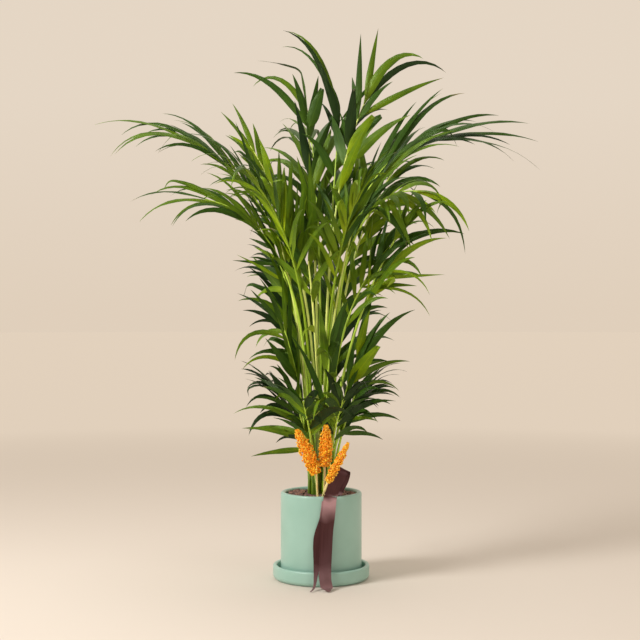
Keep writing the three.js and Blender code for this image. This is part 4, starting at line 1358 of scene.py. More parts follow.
@dataclass(frozen=True)
class Growth:
    """The rule that the whole plant grows by, as the solids of the frame do."""

    stalk_steps: int = 48
    leaf_steps: int = 24
    fold_steps: int = 3
    droop_root: float = 0.25
    droop_gain: float = 2.2
    first: float = 0.3
    finer_first: float = 0.8
    right_offset: float = 0.25
    length_ends: float = 0.86
    length_bulge: float = 0.2
    width_ends: float = 0.85
    width_bulge: float = 0.25
    fold_from: float = 0.6
    fold_spread: float = 0.2
    finer_length: float = 0.88
    finer_width: float = 0.8
    swing_lean: float = 0.25
    swing_depth: float = 0.5

    def stalk(self, sizes: FrondSizes) -> list[Station]:
        """Follow a frond's stalk from its cane to its tip, leaning further as it goes.

        Args:
            sizes: the frond's sizes.

        Returns:
            The places along it, at equal steps.
        """
        out = level(sizes.heading)
        side = level(sizes.heading + 90.0)
        rise = UP * (CANES[sizes.cane].height + GAP)
        point = cane_centre(sizes.cane) + level(sizes.seat) * STALK_SEAT + rise
        path = []
        for k in range(self.stalk_steps + 1):
            t = k / self.stalk_steps
            lean = math.radians(mix(*sizes.lean, t ** sizes.power))
            along = out * math.sin(lean) + UP * math.cos(lean)
            path.append(Station(t, point.copy(), along, side))
            point = point + along * (sizes.length / self.stalk_steps)
        return path

    def side_leaflet(self, sizes: FrondSizes, place: float, hand: int, seed: float) -> LeafPlan:
        """Plan the leaflet on one side of the rachis at a place from 0 to 1 along it.

        Args:
            sizes: the frond's sizes.
            place: how far along the leafy part it stands.
            hand: -1 for the left side and 1 for the right.
            seed: the seed of its chances.

        Returns:
            The leaflet's plan.
        """
        u = clamp(place)
        bulge = math.sin(math.pi * u)
        length = mix(sizes.leaf, sizes.tip_leaf, u) * (self.length_ends + self.length_bulge * bulge)
        width = sizes.width * (self.width_ends + self.width_bulge * bulge)
        folded = chance(seed + 7) < STRAY.fold
        return LeafPlan(
            hand=hand,
            at=mix(sizes.bare, 1, u),
            open=mix(sizes.open, sizes.tip_open, u) + STRAY.open * swing(seed + 1),
            lift=sizes.lift + STRAY.lift * swing(seed + 2),
            length=length * (1 + STRAY.length * swing(seed + 3)),
            width=width * (1 + STRAY.width * swing(seed + 4)),
            twist=STRAY.twist * swing(seed + 5),
            droop=sizes.droop * (1 + STRAY.droop * swing(seed + 6)),
            fold=self.fold_from + self.fold_spread * chance(seed + 8) if folded else 0.0,
            fold_turn=sizes.fold_turn,
            seed=seed,
        )

    def pairs(self, sizes: FrondSizes, index: int, first: float, more: int) -> Iterator[LeafPlan]:
        """Plan one pair of leaflets for each step along the rachis.

        Args:
            sizes: the frond's sizes.
            index: the frond's place in the table.
            first: where the first leaflet stands, in steps.
            more: what is added to the seeds.

        Yields:
            Each leaflet's plan.
        """
        for i in range(sizes.pairs):
            for hand in (-1, 1):
                seed = SEEDS.of_pair(index, i, hand) + more
                offset = first + (self.right_offset if hand > 0 else 0.0) + STRAY.place * swing(seed)
                yield self.side_leaflet(sizes, (i + offset) / sizes.pairs, hand, seed)

    def leaflets(self, sizes: FrondSizes, index: int) -> Iterator[LeafPlan]:
        """Plan the leaflets that the solids have too: pairs along the rachis, then the set blades.

        Args:
            sizes: the frond's sizes.
            index: the frond's place in the table.

        Yields:
            Each leaflet's plan.
        """
        yield from self.pairs(sizes, index, self.first, 0)
        for i, blade in enumerate(sizes.blades):
            yield LeafPlan(
                hand=0, at=blade.at, length=blade.length, width=blade.width, droop=blade.droop,
                fold=blade.fold, fold_turn=blade.fold_turn, seed=SEEDS.of_blade(index, i),
                lean=blade.lean, depth=blade.depth, face=blade.face)

    def finer_leaflets(self, sizes: FrondSizes, index: int) -> Iterator[LeafPlan]:
        """Plan the slimmer leaflets between the pairs, which only the finished plant has.

        Args:
            sizes: the frond's sizes.
            index: the frond's place in the table.

        Yields:
            Each leaflet's plan.
        """
        for plan in self.pairs(sizes, index, self.finer_first, SEEDS.finer):
            if chance(plan.seed + 11) > sizes.between:
                continue
            yield replace(plan, length=plan.length * self.finer_length, width=plan.width * self.finer_width)

    def start(self, sizes: FrondSizes, stalk: Sequence[Station], plan: LeafPlan,
              attempt: Attempt) -> tuple[Vector, Vector, Vector]:
        """Find where a leaflet starts, and how it heads and faces there.

        Args:
            sizes: the frond's sizes.
            stalk: the frond's stalk.
            plan: the leaflet.
            attempt: the way that it is tried.

        Returns:
            Its root, its direction and its upper face's direction.
        """
        at = station_at(stalk, plan.at)
        if plan.hand == 0:
            lean = math.radians(plan.lean + attempt.swing * self.swing_lean)
            depth = math.radians(plan.depth + attempt.swing * self.swing_depth)
            flat = math.cos(depth)
            heading = Vector((math.sin(lean) * flat, math.sin(depth), math.cos(lean) * flat))
            return at.point, heading, level(plan.face)
        side = turned(at.across, at.along, sizes.roll)
        face = turned(square_to(at.along, UP), at.along, sizes.roll)
        lift = math.radians(plan.lift + attempt.swing)
        opening = math.radians(plan.open)
        across = side * (plan.hand * math.cos(lift)) + face * math.sin(lift)
        heading = (at.along * math.cos(opening) + across * math.sin(opening)).normalized()
        return at.point, heading, turned(square_to(heading, face), heading, plan.twist)

    def leaf(self, root: Vector, heading: Vector, face: Vector, plan: LeafPlan,
             length: float) -> list[Station]:
        """Follow a leaflet from its root: it droops more towards the tip, and may fold over once.

        Args:
            root: where it starts.
            heading: its direction there.
            face: the way that its upper face looks there.
            plan: the leaflet's own figures.
            length: how long it is.

        Returns:
            The places along it, at equal steps.
        """
        point = root
        along = heading
        normal = square_to(along, face)
        path = [Station(0.0, point, along, normal)]
        for k in range(self.leaf_steps):
            t = (k + 0.5) / self.leaf_steps
            pull = plan.droop * (self.droop_root + self.droop_gain * t) / self.leaf_steps
            along = (along + part_square_to(along, DOWN) * pull).normalized()
            normal = square_to(along, normal)
            if plan.fold and 0 < t - plan.fold < self.fold_steps / self.leaf_steps:
                axis = along.cross(normal)
                along = turned(along, axis, plan.fold_turn / self.fold_steps)
                normal = turned(normal, axis, plan.fold_turn / self.fold_steps)
            point = point + along * (length / self.leaf_steps)
            path.append(Station((k + 1) / self.leaf_steps, point, along, normal))
        return path


class Reach:
    """The points of a frond's solid, which tell the tips that its leaflets have there."""

    def __init__(self, node: bpy.types.Object, slack: float = 0.25) -> None:
        """Gather the solid's points.

        Args:
            node: the CAD node.
            slack: how near in millimetres a tip has to be to one of its points.
        """
        self.slack = slack * MM
        self.tree = KDTree(len(node.data.vertices))
        for vertex in node.data.vertices:
            self.tree.insert(vertex.co, vertex.index)
        self.tree.balance()

    def has_tip(self, tip: Vector) -> bool:
        """Say whether the solid has a leaflet that ends at a point."""
        return self.tree.find(tip * MM)[2] < self.slack


@dataclass
class Foliage:
    """Every frond: a stalk that rises from a sheath on its cane, and folded leaflets on its rachis."""

    growth: Growth = field(default_factory=Growth)
    tone_stray: float = 0.24
    tone_fade: float = 0.28
    last_green: int = 4
    last_blade_green: int = 5
    foot: float = 2.8
    joint: float = 2.25
    tip: float = 1.2
    sheath: float = 0.5
    sheath_reach: float = 22.0
    stalk_sides: int = 10
    stalk_rings: int = 40
    stalk_angle: float = 50.0
    foot_shares: tuple[float, ...] = (0, 0.008, 0.018, 0.03, 0.045)
    foot_end: float = 0.06
    leaf_shares: tuple[float, ...] = (0, 0.05, 0.11, 0.19, 0.28, 0.38, 0.48, 0.58, 0.68, 0.77, 0.86, 0.94)
    leaf_angle: float = 62.0
    fold_rings: int = 4
    fold_room: float = 0.03
    last_share: float = 0.97
    root_share: float = 0.2
    shoulder: float = 0.3
    taper: float = 1.55
    sheet: float = 0.5
    channel: tuple[float, float] = (58.0, 13.0)
    channel_reach: float = 0.4
    crest: float = 0.4
    wave: float = 0.7
    wave_phases: float = 6.0
    wave_rate: float = 17.0
    wave_from: float = 0.25
    wave_half: float = 4.0
    curl: float = 34.0
    greens: tuple[Green, ...] = tuple(Green)

    def outline(self, t: float) -> float:
        """Give a leaflet's width at a share of its length, as a share of its full width."""
        rise = mix(self.root_share, 1.0, math.sin(math.pi / 2 * clamp(t / self.shoulder)))
        return rise * (1.0 - clamp((t - self.shoulder) / (1.0 - self.shoulder)) ** self.taper)

    def shares(self, plan: LeafPlan) -> list[float]:
        """Give the places of a leaflet's rings, closer together at a fold.

        Args:
            plan: the leaflet's figures.

        Returns:
            The shares of its length, from root to tip.
        """
        if not plan.fold:
            return list(self.leaf_shares)
        fold_end = plan.fold + self.growth.fold_steps / self.growth.leaf_steps
        bend = [mix(plan.fold, fold_end, i / self.fold_rings) for i in range(self.fold_rings + 1)]
        plain = [s for s in self.leaf_shares
                 if s < plan.fold - self.fold_room or s > fold_end + self.fold_room]
        return sorted(plain + [s for s in bend if s < self.last_share])

    def leaflet(self, batch: Batch, path: Sequence[Station], plan: LeafPlan, slot: int) -> None:
        """Add a thin closed blade, folded along its rib, that opens, waves and turns towards its tip.

        Args:
            batch: where it goes.
            path: the places along it.
            plan: its figures.
            slot: the index of its green.
        """
        points: list[Vector] = []
        places: list[tuple[float, float]] = []
        shares = self.shares(plan)
        turn = self.curl * swing(plan.seed + 21)
        phase = self.wave_phases * chance(plan.seed + 22)
        for share in shares:
            at = station_at(path, share)
            normal = turned(square_to(at.along, at.across), at.along, turn * share * share)
            side = normal.cross(at.along)
            half = plan.width * self.outline(share) / 2
            slope = math.radians(mix(*self.channel, clamp(share / self.channel_reach) ** 0.5))
            ripple = (self.wave * math.sin(phase + share * self.wave_rate)
                      * clamp(share / self.wave_from) * clamp(half / self.wave_half))
            out = side * (half * math.cos(slope))
            down = normal * (half * math.sin(slope))
            rib = at.point + normal * (half * math.sin(slope) * self.crest)
            points.extend((
                rib + out - down + normal * ripple,
                rib,
                rib - out - down - normal * ripple,
                rib - normal * self.sheet,
            ))
            places.extend(((1.0, share), (0.5, share), (0.0, share), (0.5, share)))
        rings = len(shares)
        faces = tube_faces(rings, 4)[:-1]
        last = (rings - 1) * 4
        faces.extend((last + k, last + (k + 1) % 4, rings * 4) for k in range(4))
        points.append(path[-1].point)
        places.append((0.5, 1.0))
        batch.add(points, faces, slot, places)

    def stalk_radius(self, sizes: FrondSizes, share: float) -> float:
        """Give a stalk's radius at a share of its length, with the sheath's swelling at its foot.

        Args:
            sizes: the frond's sizes.
            share: how far along the stalk, from 0 to 1.

        Returns:
            The radius in millimetres.
        """
        swell = self.sheath * math.exp(-share * sizes.length / self.sheath_reach)
        if share < sizes.bare:
            return mix(self.foot, self.joint, share / sizes.bare) + swell
        return mix(self.joint, self.tip, (share - sizes.bare) / (1 - sizes.bare))

    def stalk(self, batch: Batch, sizes: FrondSizes, path: Sequence[Station]) -> None:
        """Add a round tapering stalk, with the way along it in its map.

        Args:
            batch: where it goes.
            sizes: the frond's sizes.
            path: the places along the stalk.
        """
        rings = list(self.foot_shares)
        rings += [mix(self.foot_end, 1.0, k / self.stalk_rings) for k in range(self.stalk_rings + 1)]
        points: list[Vector] = []
        places: list[tuple[float, float]] = []
        for share in rings:
            at = station_at(path, share)
            normal = at.along.cross(at.across)
            radius = self.stalk_radius(sizes, share)
            points.extend(ring_at(at.point, at.across, normal, radius, self.stalk_sides))
            places.extend((k / self.stalk_sides, share) for k in range(self.stalk_sides))
        batch.add(points, tube_faces(len(rings), self.stalk_sides), Green.at(sizes.stalk_tone), places)

    def frond(self, name: str, index: int, leaf_looks: Sequence[bpy.types.Material],
              stalk_looks: Sequence[bpy.types.Material]) -> None:
        """Grow one frond and hand its two pieces over.

        Args:
            name: its name in the table.
            index: its place in the table, which seeds its chances.
            leaf_looks: the greens of leaflets.
            stalk_looks: the greens of stalks.
        """
        sizes = FRONDS[name]
        node = f"frond_{name}"
        reach = Reach(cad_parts[node])
        path = self.growth.stalk(sizes)
        stalks = Batch()
        self.stalk(stalks, sizes, path)
        leaves = Batch()
        found = 0
        plans = list(self.growth.leaflets(sizes, index))
        for plan in plans:
            for attempt in ATTEMPTS:
                root, heading, face = self.growth.start(sizes, path, plan, attempt)
                course = self.growth.leaf(root, heading, face, plan, plan.length * attempt.size)
                if reach.has_tip(course[-1].point):
                    self.leaflet(leaves, course, plan, self.tone(sizes, plan))
                    found += 1
                    break
        LOG.info("%s: %d of %d planned leaflets stand in the solid", node, found, len(plans))
        for plan in self.growth.finer_leaflets(sizes, index):
            root, heading, face = self.growth.start(sizes, path, plan, ATTEMPTS[0])
            course = self.growth.leaf(root, heading, face, plan, plan.length)
            self.leaflet(leaves, course, plan, self.tone(sizes, plan))
        slot = "bright_foliage" if name.startswith("tall") else "foliage"
        hand_over(leaves.piece(f"{node}_leaflets", leaf_looks, self.leaf_angle), slot, node)
        hand_over(stalks.piece(f"{node}_stalk", stalk_looks, self.stalk_angle), slot, node)

    def tone(self, sizes: FrondSizes, plan: LeafPlan) -> int:
        """Pick the green of a leaflet."""
        tone = sizes.tone + self.tone_stray * swing(plan.seed + 31) + self.tone_fade * (0.5 - plan.at)
        return Green.at(tone, self.last_green if plan.hand else self.last_blade_green)

    def build(self) -> None:
        """Grow every frond."""
        leaf_looks = [LeafFinish(green).material() for green in self.greens]
        stalk_looks = [StalkFinish(green).material() for green in self.greens]
        for index, name in enumerate(FRONDS):
            self.frond(name, index, leaf_looks, stalk_looks)


@dataclass
class Potting:
    """The potting mix in the pot and the broken stones that cover it."""

    radius: float = 66.0
    bottom: float = 16.6
    cover: float = 1.5
    sides: int = 64
    dome_rings: int = 6
    dome_share: float = 7.5
    dome_rise: float = 0.12
    count: int = 330
    size: tuple[float, float] = (3.4, 6.6)
    size_power: float = 1.4
    edge_room: float = 4.5
    place_stray: float = 6.0
    whole_turn: float = 6.28
    tilt_stray: float = 0.7
    sunk: float = 0.25
    heap: float = 2.2
    corners: int = 10
    corner_turn: float = 2.4
    corner_stray: float = 0.7
    corner_reach: float = 0.8
    corner_spread: float = 0.35
    flatness: float = 0.8
    moulds: int = 14
    cane_room: float = 9.5
    stem_room: float = 4.0
    stones: tuple[StoneFinish, ...] = (
        StoneFinish("plum", (112, 82, 76), (150, 120, 112)),
        StoneFinish("rust", (134, 96, 80), (170, 136, 118)),
        StoneFinish("umber", (84, 62, 58), (120, 96, 88)),
    )

    def mould(self, index: int) -> tuple[list[Vector], list[tuple[int, ...]]]:
        """Give the points and faces of a broken stone about one millimetre in radius.

        Args:
            index: the stone's number, which seeds its chances.

        Returns:
            Its points and the indices of each face's points.
        """
        shell = bmesh.new()
        for k in range(self.corners):
            seed = index * 40 + k * 3
            rise = 1 - 2 * (k + 0.5) / self.corners
            turn = k * self.corner_turn + self.corner_stray * swing(seed)
            out = math.sqrt(1 - rise * rise)
            reach = self.corner_reach + self.corner_spread * chance(seed + 1)
            corner = Vector((math.cos(turn) * out, math.sin(turn) * out, rise * self.flatness))
            shell.verts.new(corner * reach)
        hull = bmesh.ops.convex_hull(shell, input=list(shell.verts))
        bmesh.ops.delete(shell, geom=list(set(hull["geom_interior"])), context="VERTS")
        bmesh.ops.recalc_face_normals(shell, faces=list(shell.faces))
        shell.verts.index_update()
        points = [v.co.copy() for v in shell.verts]
        faces = [tuple(v.index for v in face.verts) for face in shell.faces]
        shell.free()
        return points, faces

    def is_free(self, spot: Vector) -> bool:
        """Say whether a stone may lie at a point: clear of canes and flower stems."""
        canes = all((spot - cane_centre(name)).xy.length > self.cane_room for name in CANES)
        return canes and all((spot.xy - spike.foot.xy).length > self.stem_room for spike in SPIKES.values())

    def build(self) -> None:
        """Make the mix and the layer of stones."""
        depth = SOIL_TOP - self.cover - self.bottom
        soil = add_cylinder("potting_mix", self.sides, self.radius, UP * self.bottom, depth)
        with Shaper(soil) as shaper:
            shaper.faces(lambda face: face.normal.z > 0.9)
            for _ in range(self.dome_rings):
                bpy.ops.mesh.inset(thickness=self.radius * MM / self.dome_share)
                bpy.ops.transform.translate(value=(0, 0, self.dome_rise * MM))
        smooth(soil, 40)
        soil.data.materials.append(SoilFinish().material())
        hand_over(soil, "stones", "potting_fill")

        moulds = [self.mould(index) for index in range(self.moulds)]
        batch = Batch()
        for i in range(self.count):
            out = (self.radius - self.edge_room) * math.sqrt((i + 0.5) / self.count)
            spot = level(i * GOLDEN_ANGLE + self.place_stray * swing(i + 0.5)) * out + UP * SOIL_TOP
            size = mix(*self.size, chance(i + 0.3) ** self.size_power)
            if not self.is_free(spot):
                continue
            points, faces = moulds[i % self.moulds]
            turn = (Matrix.Rotation(self.whole_turn * chance(i + 0.1), 3, "Z")
                    @ Matrix.Rotation(self.tilt_stray * swing(i + 0.2), 3, "X"))
            lift = UP * (size * self.sunk + self.heap * chance(i + 0.9))
            batch.add([spot + lift + turn @ p * size for p in points], faces, pick(i + 0.7, len(self.stones)))
        stones = batch.piece("stone_chips", [stone.material() for stone in self.stones], 24)
        hand_over(stones, "stones", "potting_fill")


@dataclass(frozen=True)
class Spike:
    """A flower spike: its foot on the fill, and the ends and girth of its spindle of buds."""

    foot: Vector
    base: Vector
    tip: Vector
    girth: float
    buds: int


SPIKES = {
    "left": Spike(Vector((-6.5, -54, 155.3)), Vector((-9, -61, 204)), Vector((-44, -62, 284)), 30, 400),
    "centre": Spike(Vector((6, -54.5, 155.3)), Vector((6.5, -57, 217)), Vector((9.5, -54, 292)), 28, 350),
    "right": Spike(Vector((0, -59.5, 155.3)), Vector((12, -84, 192)), Vector((49, -83, 262)), 19, 230),
}


@dataclass
class Flowers:
    """The orange flower spikes: small plump buds packed round short branches of a pale stem."""

    stem: float = 2.2
    stem_sides: int = 10
    stem_girths: tuple[float, ...] = (1.15, 1.0, 1.0, 0.8, 0.3)
    bud: float = 2.35
    bud_sides: int = 6
    bud_rings: tuple[tuple[float, float], ...] = ((-0.9, 0.35), (-0.35, 0.95), (0.4, 0.85), (1.0, 0.3))
    core_reach: float = 0.7
    core_range: tuple[float, float] = (0.2, 0.95)
    core_power: float = 0.8
    heart_rings: int = 6
    heart_girth: float = 0.62
    heart_look: int = 2
    turn_stray: float = 14.0
    place_stray: float = 0.02
    inner_every: int = 4
    inner_depth: float = 0.6
    outer_depth: float = 0.72
    depth_spread: float = 0.36
    aim_up: float = 0.5
    aim_gain: float = 0.6
    least_bud: float = 0.78
    bud_spread: float = 0.4
    tip_bud: float = 0.72
    branch_every: int = 6
    branch_drop: float = 0.08
    branch_girths: tuple[float, float] = (0.6, 0.45)
    branch_sides: int = 5
    finishes: tuple[BudFinish, ...] = (
        BudFinish("orange", (255, 192, 38), (252, 172, 22)),
        BudFinish("amber", (255, 208, 80), (253, 190, 48)),
        BudFinish("flame", (252, 168, 20), (246, 150, 12)),
    )

    def bud_shape(self) -> tuple[list[Vector], list[tuple[int, ...]]]:
        """Give the points and faces of a plump bud of radius one, from foot to tip."""
        points = [p for z, r in self.bud_rings for p in ring_at(UP * z, *LEVEL_AXES, r, self.bud_sides)]
        return points, tube_faces(len(self.bud_rings), self.bud_sides)

    def core(self, spike: Spike, t: float) -> float:
        """Give the radius of the spindle of buds at a share of its length."""
        swell = math.sin(math.pi * mix(*self.core_range, t)) ** self.core_power
        return (spike.girth / 2 - self.core_reach * self.bud) * swell

    def spike(self, name: str, stem_look: bpy.types.Material,
              bud_looks: Sequence[bpy.types.Material]) -> None:
        """Make one spike and hand its two pieces over.

        Args:
            name: its name in the table.
            stem_look: the stem's finish.
            bud_looks: the finishes of buds.
        """
        spike = SPIKES[name]
        along = (spike.tip - spike.base).normalized()
        u = square_to(along, level(FRONT_HEADING))
        v = along.cross(u)
        run = (spike.foot, spike.foot.lerp(spike.base, 0.5), spike.base,
               spike.base.lerp(spike.tip, 0.5), spike.tip)
        axes = (LEVEL_AXES, *((u, v),) * (len(run) - 1))
        points = [p for place, pair, girth in zip(run, axes, self.stem_girths)
                  for p in ring_at(place, *pair, self.stem * girth, self.stem_sides)]
        stem = Batch()
        stem.add(points, tube_faces(len(run), self.stem_sides), 0)
        heart = [p for share in (k / self.heart_rings for k in range(self.heart_rings + 1))
                 for p in ring_at(spike.base.lerp(spike.tip, share), u, v,
                                  self.core(spike, share) * self.heart_girth, self.stem_sides)]
        buds = Batch()
        buds.add(heart, tube_faces(self.heart_rings + 1, self.stem_sides), self.heart_look)
        shape, faces = self.bud_shape()
        for i in range(spike.buds):
            t = (i + 0.5) / spike.buds
            seed = i * 3.7 + len(name)
            turn = math.radians(i * GOLDEN_ANGLE + self.turn_stray * swing(seed))
            deep = self.inner_depth
            if i % self.inner_every:
                deep = self.outer_depth + self.depth_spread * chance(seed + 1)
            out = u * math.cos(turn) + v * math.sin(turn)
            middle = spike.base.lerp(spike.tip, clamp(t + self.place_stray * swing(seed + 2)))
            place = middle + out * self.core(spike, t) * deep
            aim = (out + along * (self.aim_up + self.aim_gain * t)).normalized()
            size = self.bud * (self.least_bud + self.bud_spread * chance(seed + 3))
            size *= mix(1.0, self.tip_bud, t)
            cross = square_to(aim, along)
            turned_in = Matrix((cross, aim.cross(cross), aim)).transposed()
            buds.add([place + turned_in @ p * size for p in shape], faces, pick(seed + 4, len(bud_looks)))
            if i % self.branch_every == 0:
                foot = spike.base.lerp(spike.tip, max(0.0, t - self.branch_drop))
                branch = [p for end, radius in zip((foot, place), self.branch_girths)
                          for p in ring_at(end, cross, v, radius, self.branch_sides)]
                stem.add(branch, tube_faces(2, self.branch_sides), 0)
        node = f"flower_spike_{name}"
        hand_over(stem.piece(f"{node}_stem", [stem_look], 50), "buds", node)
        hand_over(buds.piece(f"{node}_buds", bud_looks, 80), "buds", node)

    def build(self) -> None:
        """Make every spike."""
        stem_look = StemFinish().material()
        bud_looks = [finish.material() for finish in self.finishes]
        for name in SPIKES:
            self.spike(name, stem_look, bud_looks)


class Spline:
    """A smooth centripetal curve through points."""

    def __init__(self, points: Sequence[Sequence[float]]) -> None:
        """Keep the points, with one more past each end."""
        inner = [Vector(p) for p in points]
        self.points = [inner[0] * 2 - inner[1], *inner, inner[-1] * 2 - inner[-2]]

    def at(self, share: float) -> Vector:
        """Give the point at a share of the way, counted in spans.

        Args:
            share: how far along the curve, from 0 to 1.

        Returns:
            The point.
        """
        spans = len(self.points) - 3
        x = clamp(share) * spans
        i = min(int(x), spans - 1)
        p0, p1, p2, p3 = self.points[i:i + 4]
        t = x - i
        near = math.sqrt((p1 - p2).length) or 1.0
        before = math.sqrt((p0 - p1).length) or near
        after = math.sqrt((p2 - p3).length) or near
        leave = ((p1 - p0) / before - (p2 - p0) / (before + near) + (p2 - p1) / near) * near
        arrive = ((p2 - p1) / near - (p3 - p1) / (near + after) + (p3 - p2) / after) * near
        return (p1 + leave * t + (p2 * 3 - p1 * 3 - leave * 2 - arrive) * t ** 2
                + (p1 * 2 - p2 * 2 + leave + arrive) * t ** 3)

    def along(self, share: float) -> Vector:
        """Give the direction at a share of the way."""
        return (self.at(min(1.0, share + 1e-3)) - self.at(max(0.0, share - 1e-3))).normalized()


@dataclass(frozen=True)
class RibbonRun:
    """A run of ribbon: where its middle goes, how its width lies there, and the shares of it at its end."""

    node: str
    middle: tuple[tuple[float, float, float], ...]
    across: tuple[tuple[float, float, float], ...]
    level_start: bool = False
    bow: float = 1.2
    narrow: tuple[float, ...] = (1.0,)

    def breadth(self, share: float) -> float:
        """Give the share of the full width that the ribbon has at a share of its way.

        Args:
            share: how far along the run, from 0 to 1.

        Returns:
            The share of the width.
        """
        spans = len(self.middle) - 1
        shares = (1.0,) * (spans + 1 - len(self.narrow)) + self.narrow
        span = min(int(share * spans), spans - 1)
        return mix(shares[span], shares[span + 1], share * spans - span)


@dataclass
class Ribbon:
    """The satin ribbon: a loop over the rim and two tails that hang down the front of the pot."""

    width: float = 24.0
    thickness: float = 0.7
    columns: int = 10
    rows_per_span: int = 9
    bow_reach: float = 1.02
    first_row: float = 1e-6
    finish: SatinFinish = field(default_factory=SatinFinish)
    runs: tuple[RibbonRun, ...] = (
        RibbonRun(
            "ribbon_loop",
            ((17.5, -69.6, 163.35), (22, -68.5, 178), (30, -67, 195), (37, -64, 208), (40.5, -59, 211),
             (42, -53, 206), (39, -49, 192), (32, -48, 178), (26, -49, 166)),
            ((1, 0.12, 0.02), (1, 0.1, -0.1), (1, 0.1, -0.3), (1, 0.05, -0.5), (1, 0, -0.55),
             (1, 0, -0.5), (1, 0, -0.35), (1, 0, -0.2), (1, 0, -0.1)),
            level_start=True),
        RibbonRun(
            "ribbon_front_tail",
            ((17, -73.2, 163.7), (16, -77.6, 160), (15, -79, 150), (13, -81.5, 128), (10, -84, 104),
             (8.5, -88, 80), (7.5, -94, 54), (7, -101.5, 32), (7.5, -110, 17), (10, -119, 7), (14, -130, 2)),
            ((1, 0.1, 0), (1, 0.15, 0), (1, 0.12, 0), (1, 0.14, 0), (1, 0.16, 0),
             (0.98, 0.2, 0), (0.94, 0.34, 0), (0.88, 0.46, 0), (0.86, 0.46, 0),
             (0.86, 0.45, 0), (0.9, 0.4, 0)),
            bow=-1.2, narrow=(1.0, 0.12)),
        RibbonRun(
            "ribbon_back_tail",
            ((13, -76.95, 154), (11, -77.8, 138), (8, -78.4, 120), (2.5, -78.6, 104), (-2, -79.6, 88),
             (-3.5, -82, 70), (-5, -86, 54), (-8, -92, 38), (-10, -100, 24), (-11.5, -110, 12),
             (-14, -120, 5), (-19, -131, 2)),
            ((1, 0.16, 0), (1, 0.12, 0), (1, 0.08, 0), (1, 0, 0), (1, -0.06, 0), (1, -0.1, 0),
             (1, -0.1, 0), (1, -0.1, 0), (1, -0.1, 0), (1, -0.1, 0), (1, -0.1, 0), (1, -0.2, 0)),
            bow=0.0, narrow=(0.96, 0.8, 0.5, 0.3, 0.2, 0.14, 0.1)),
    )

    def run(self, run: RibbonRun, material: bpy.types.Material) -> None:
        """Lay a grid along a run, give it its thickness, and hand it over.

        Args:
            run: the run's figures.
            material: the satin.
        """
        rows = (len(run.middle) - 1) * self.rows_per_span
        select_nothing()
        bpy.ops.mesh.primitive_grid_add(x_subdivisions=self.columns, y_subdivisions=rows, size=1.0)
        made = bpy.context.active_object
        made.name = f"satin_{run.node}"
        middle, across = Spline(run.middle), Spline(run.across)
        for vertex in made.data.vertices:
            u = vertex.co.x * 2.0
            share = clamp(vertex.co.y + 0.5)
            centre, along = middle.at(share), middle.along(share)
            side = square_to(along, across.at(share))
            normal = side.cross(along)
            bow = run.bow * (1.0 - u * u) * math.sin(math.pi * clamp(share * self.bow_reach))
            point = centre + side * (u * run.breadth(share) * self.width / 2) + normal * bow
            if run.level_start and share < self.first_row:
                point += along * ((centre.z - point.z) / along.z)
            vertex.co = point * MM
        solid = made.modifiers.new("thickness", "SOLIDIFY")
        solid.thickness = self.thickness * MM
        solid.offset = 0.0
        bpy.ops.object.modifier_apply(modifier=solid.name)
        smooth(made, 50)
        made.data.materials.append(material)
        hand_over(made, "satin", run.node)

    def build(self) -> None:
        """Make every run."""
        material = self.finish.material()
        for run in self.runs:
            self.run(run, material)


@dataclass(frozen=True)
class SoftLight:
    """A large soft lamp: where it hangs, how wide it is, its power and its colour."""

    name: str
    place: tuple[float, float, float]
    width: float
    power: float
    colour: tuple[float, float, float]


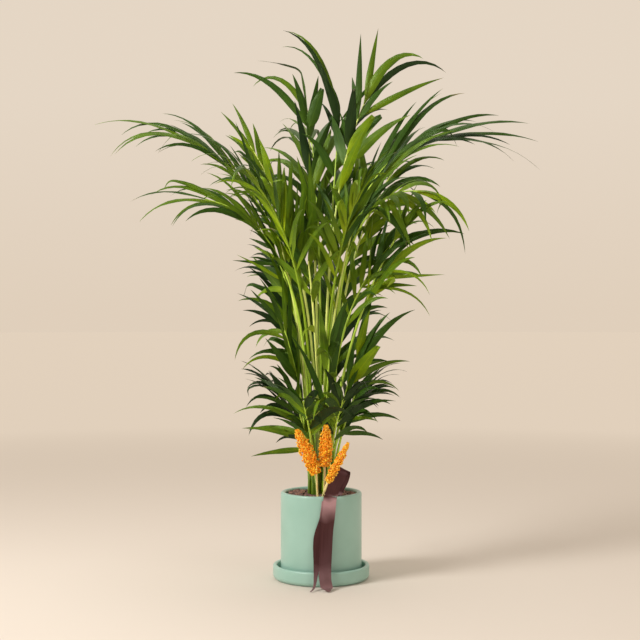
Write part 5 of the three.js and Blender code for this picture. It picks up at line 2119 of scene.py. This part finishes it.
@dataclass
class Studio:
    """The pale floor, the soft lights and the camera at the photograph's viewing angle."""

    eye: tuple[float, float, float] = (-0.00225, -2.4, 0.50)
    pitch: float = -0.36
    lens: float = 71.83
    sensor: float = 36.0
    floor_radius: float = 30.0
    floor_sides: int = 96
    aim: tuple[float, float, float] = (0.0, 0.0, 0.45)
    wall: tuple[int, int, int] = (232, 217, 199)
    skirting: tuple[int, int, int] = (227, 210, 190)
    fade: float = 0.16
    air_strength: float = 0.97
    dim: float = 0.45
    dim_range: tuple[float, float] = (-0.2, 0.7)
    lights: tuple[SoftLight, ...] = (
        SoftLight("window", (-1.9, -1.3, 1.9), 0.9, 62.0, (1.0, 0.99, 0.97)),
        SoftLight("room", (2.0, -1.8, 1.2), 2.2, 14.0, (1.0, 0.98, 0.95)),
        SoftLight("ceiling", (0.2, 0.6, 2.8), 2.0, 16.0, (1.0, 0.99, 0.97)),
    )

    def build(self) -> None:
        """Make the floor, the lights, the surrounding air and the camera."""
        select_nothing()
        bpy.ops.mesh.primitive_circle_add(
            vertices=self.floor_sides, radius=self.floor_radius, fill_type="NGON")
        floor = bpy.context.active_object
        floor.name = "pale_floor"
        with Shaper(floor) as shaper:
            shaper.faces(lambda face: True)
            bpy.ops.mesh.inset(thickness=self.floor_radius / 2)
        floor.data.materials.append(StageFinish().material())

        for light in self.lights:
            lamp = bpy.data.lights.new(light.name, "AREA")
            lamp.shape = "DISK"
            lamp.size = light.width
            lamp.energy = light.power
            lamp.color = light.colour
            holder = bpy.data.objects.new(light.name, lamp)
            holder.location = light.place
            towards = Vector(self.aim) - Vector(light.place)
            holder.rotation_euler = towards.to_track_quat("-Z", "Y").to_euler()
            bpy.context.scene.collection.objects.link(holder)

        self.surround()
        bpy.context.scene.view_settings.view_transform = "Standard"

        lens = bpy.data.cameras.new("viewpoint")
        lens.lens = self.lens
        lens.sensor_width = self.sensor
        camera = bpy.data.objects.new("viewpoint", lens)
        camera.location = self.eye
        camera.rotation_euler = (math.radians(90.0 + self.pitch), 0.0, 0.0)
        bpy.context.scene.collection.objects.link(camera)
        bpy.context.scene.camera = camera

    def surround(self) -> None:
        """Make the pale wall's light, which fades into the floor and is dimmer towards the room in front."""
        world = bpy.data.worlds.new("pale_wall")
        world.use_nodes = True
        nodes = Nodes(world.node_tree)
        _, depth, height = nodes.split(nodes.node("TexCoord").outputs["Generated"])
        wall = nodes.blend(nodes.ramp(height, 0.0, self.fade), linear(*self.skirting), linear(*self.wall))
        strength = nodes.ramp(depth, *self.dim_range, self.air_strength * self.dim, self.air_strength)
        background = nodes.tree.nodes["Background"]
        nodes.link(wall, background.inputs["Color"])
        nodes.link(strength, background.inputs["Strength"])
        bpy.context.scene.world = world


def main() -> None:
    """Build the scene, and log every piece."""
    logging.basicConfig(level=logging.INFO, format="%(name)s: %(message)s")
    for part in (Studio(), Crockery(), Potting(), Flowers(), Ribbon(), Clump(), Foliage()):
        LOG.info("building %s", type(part).__name__)
        part.build()


if __name__ == "__main__":
    main()
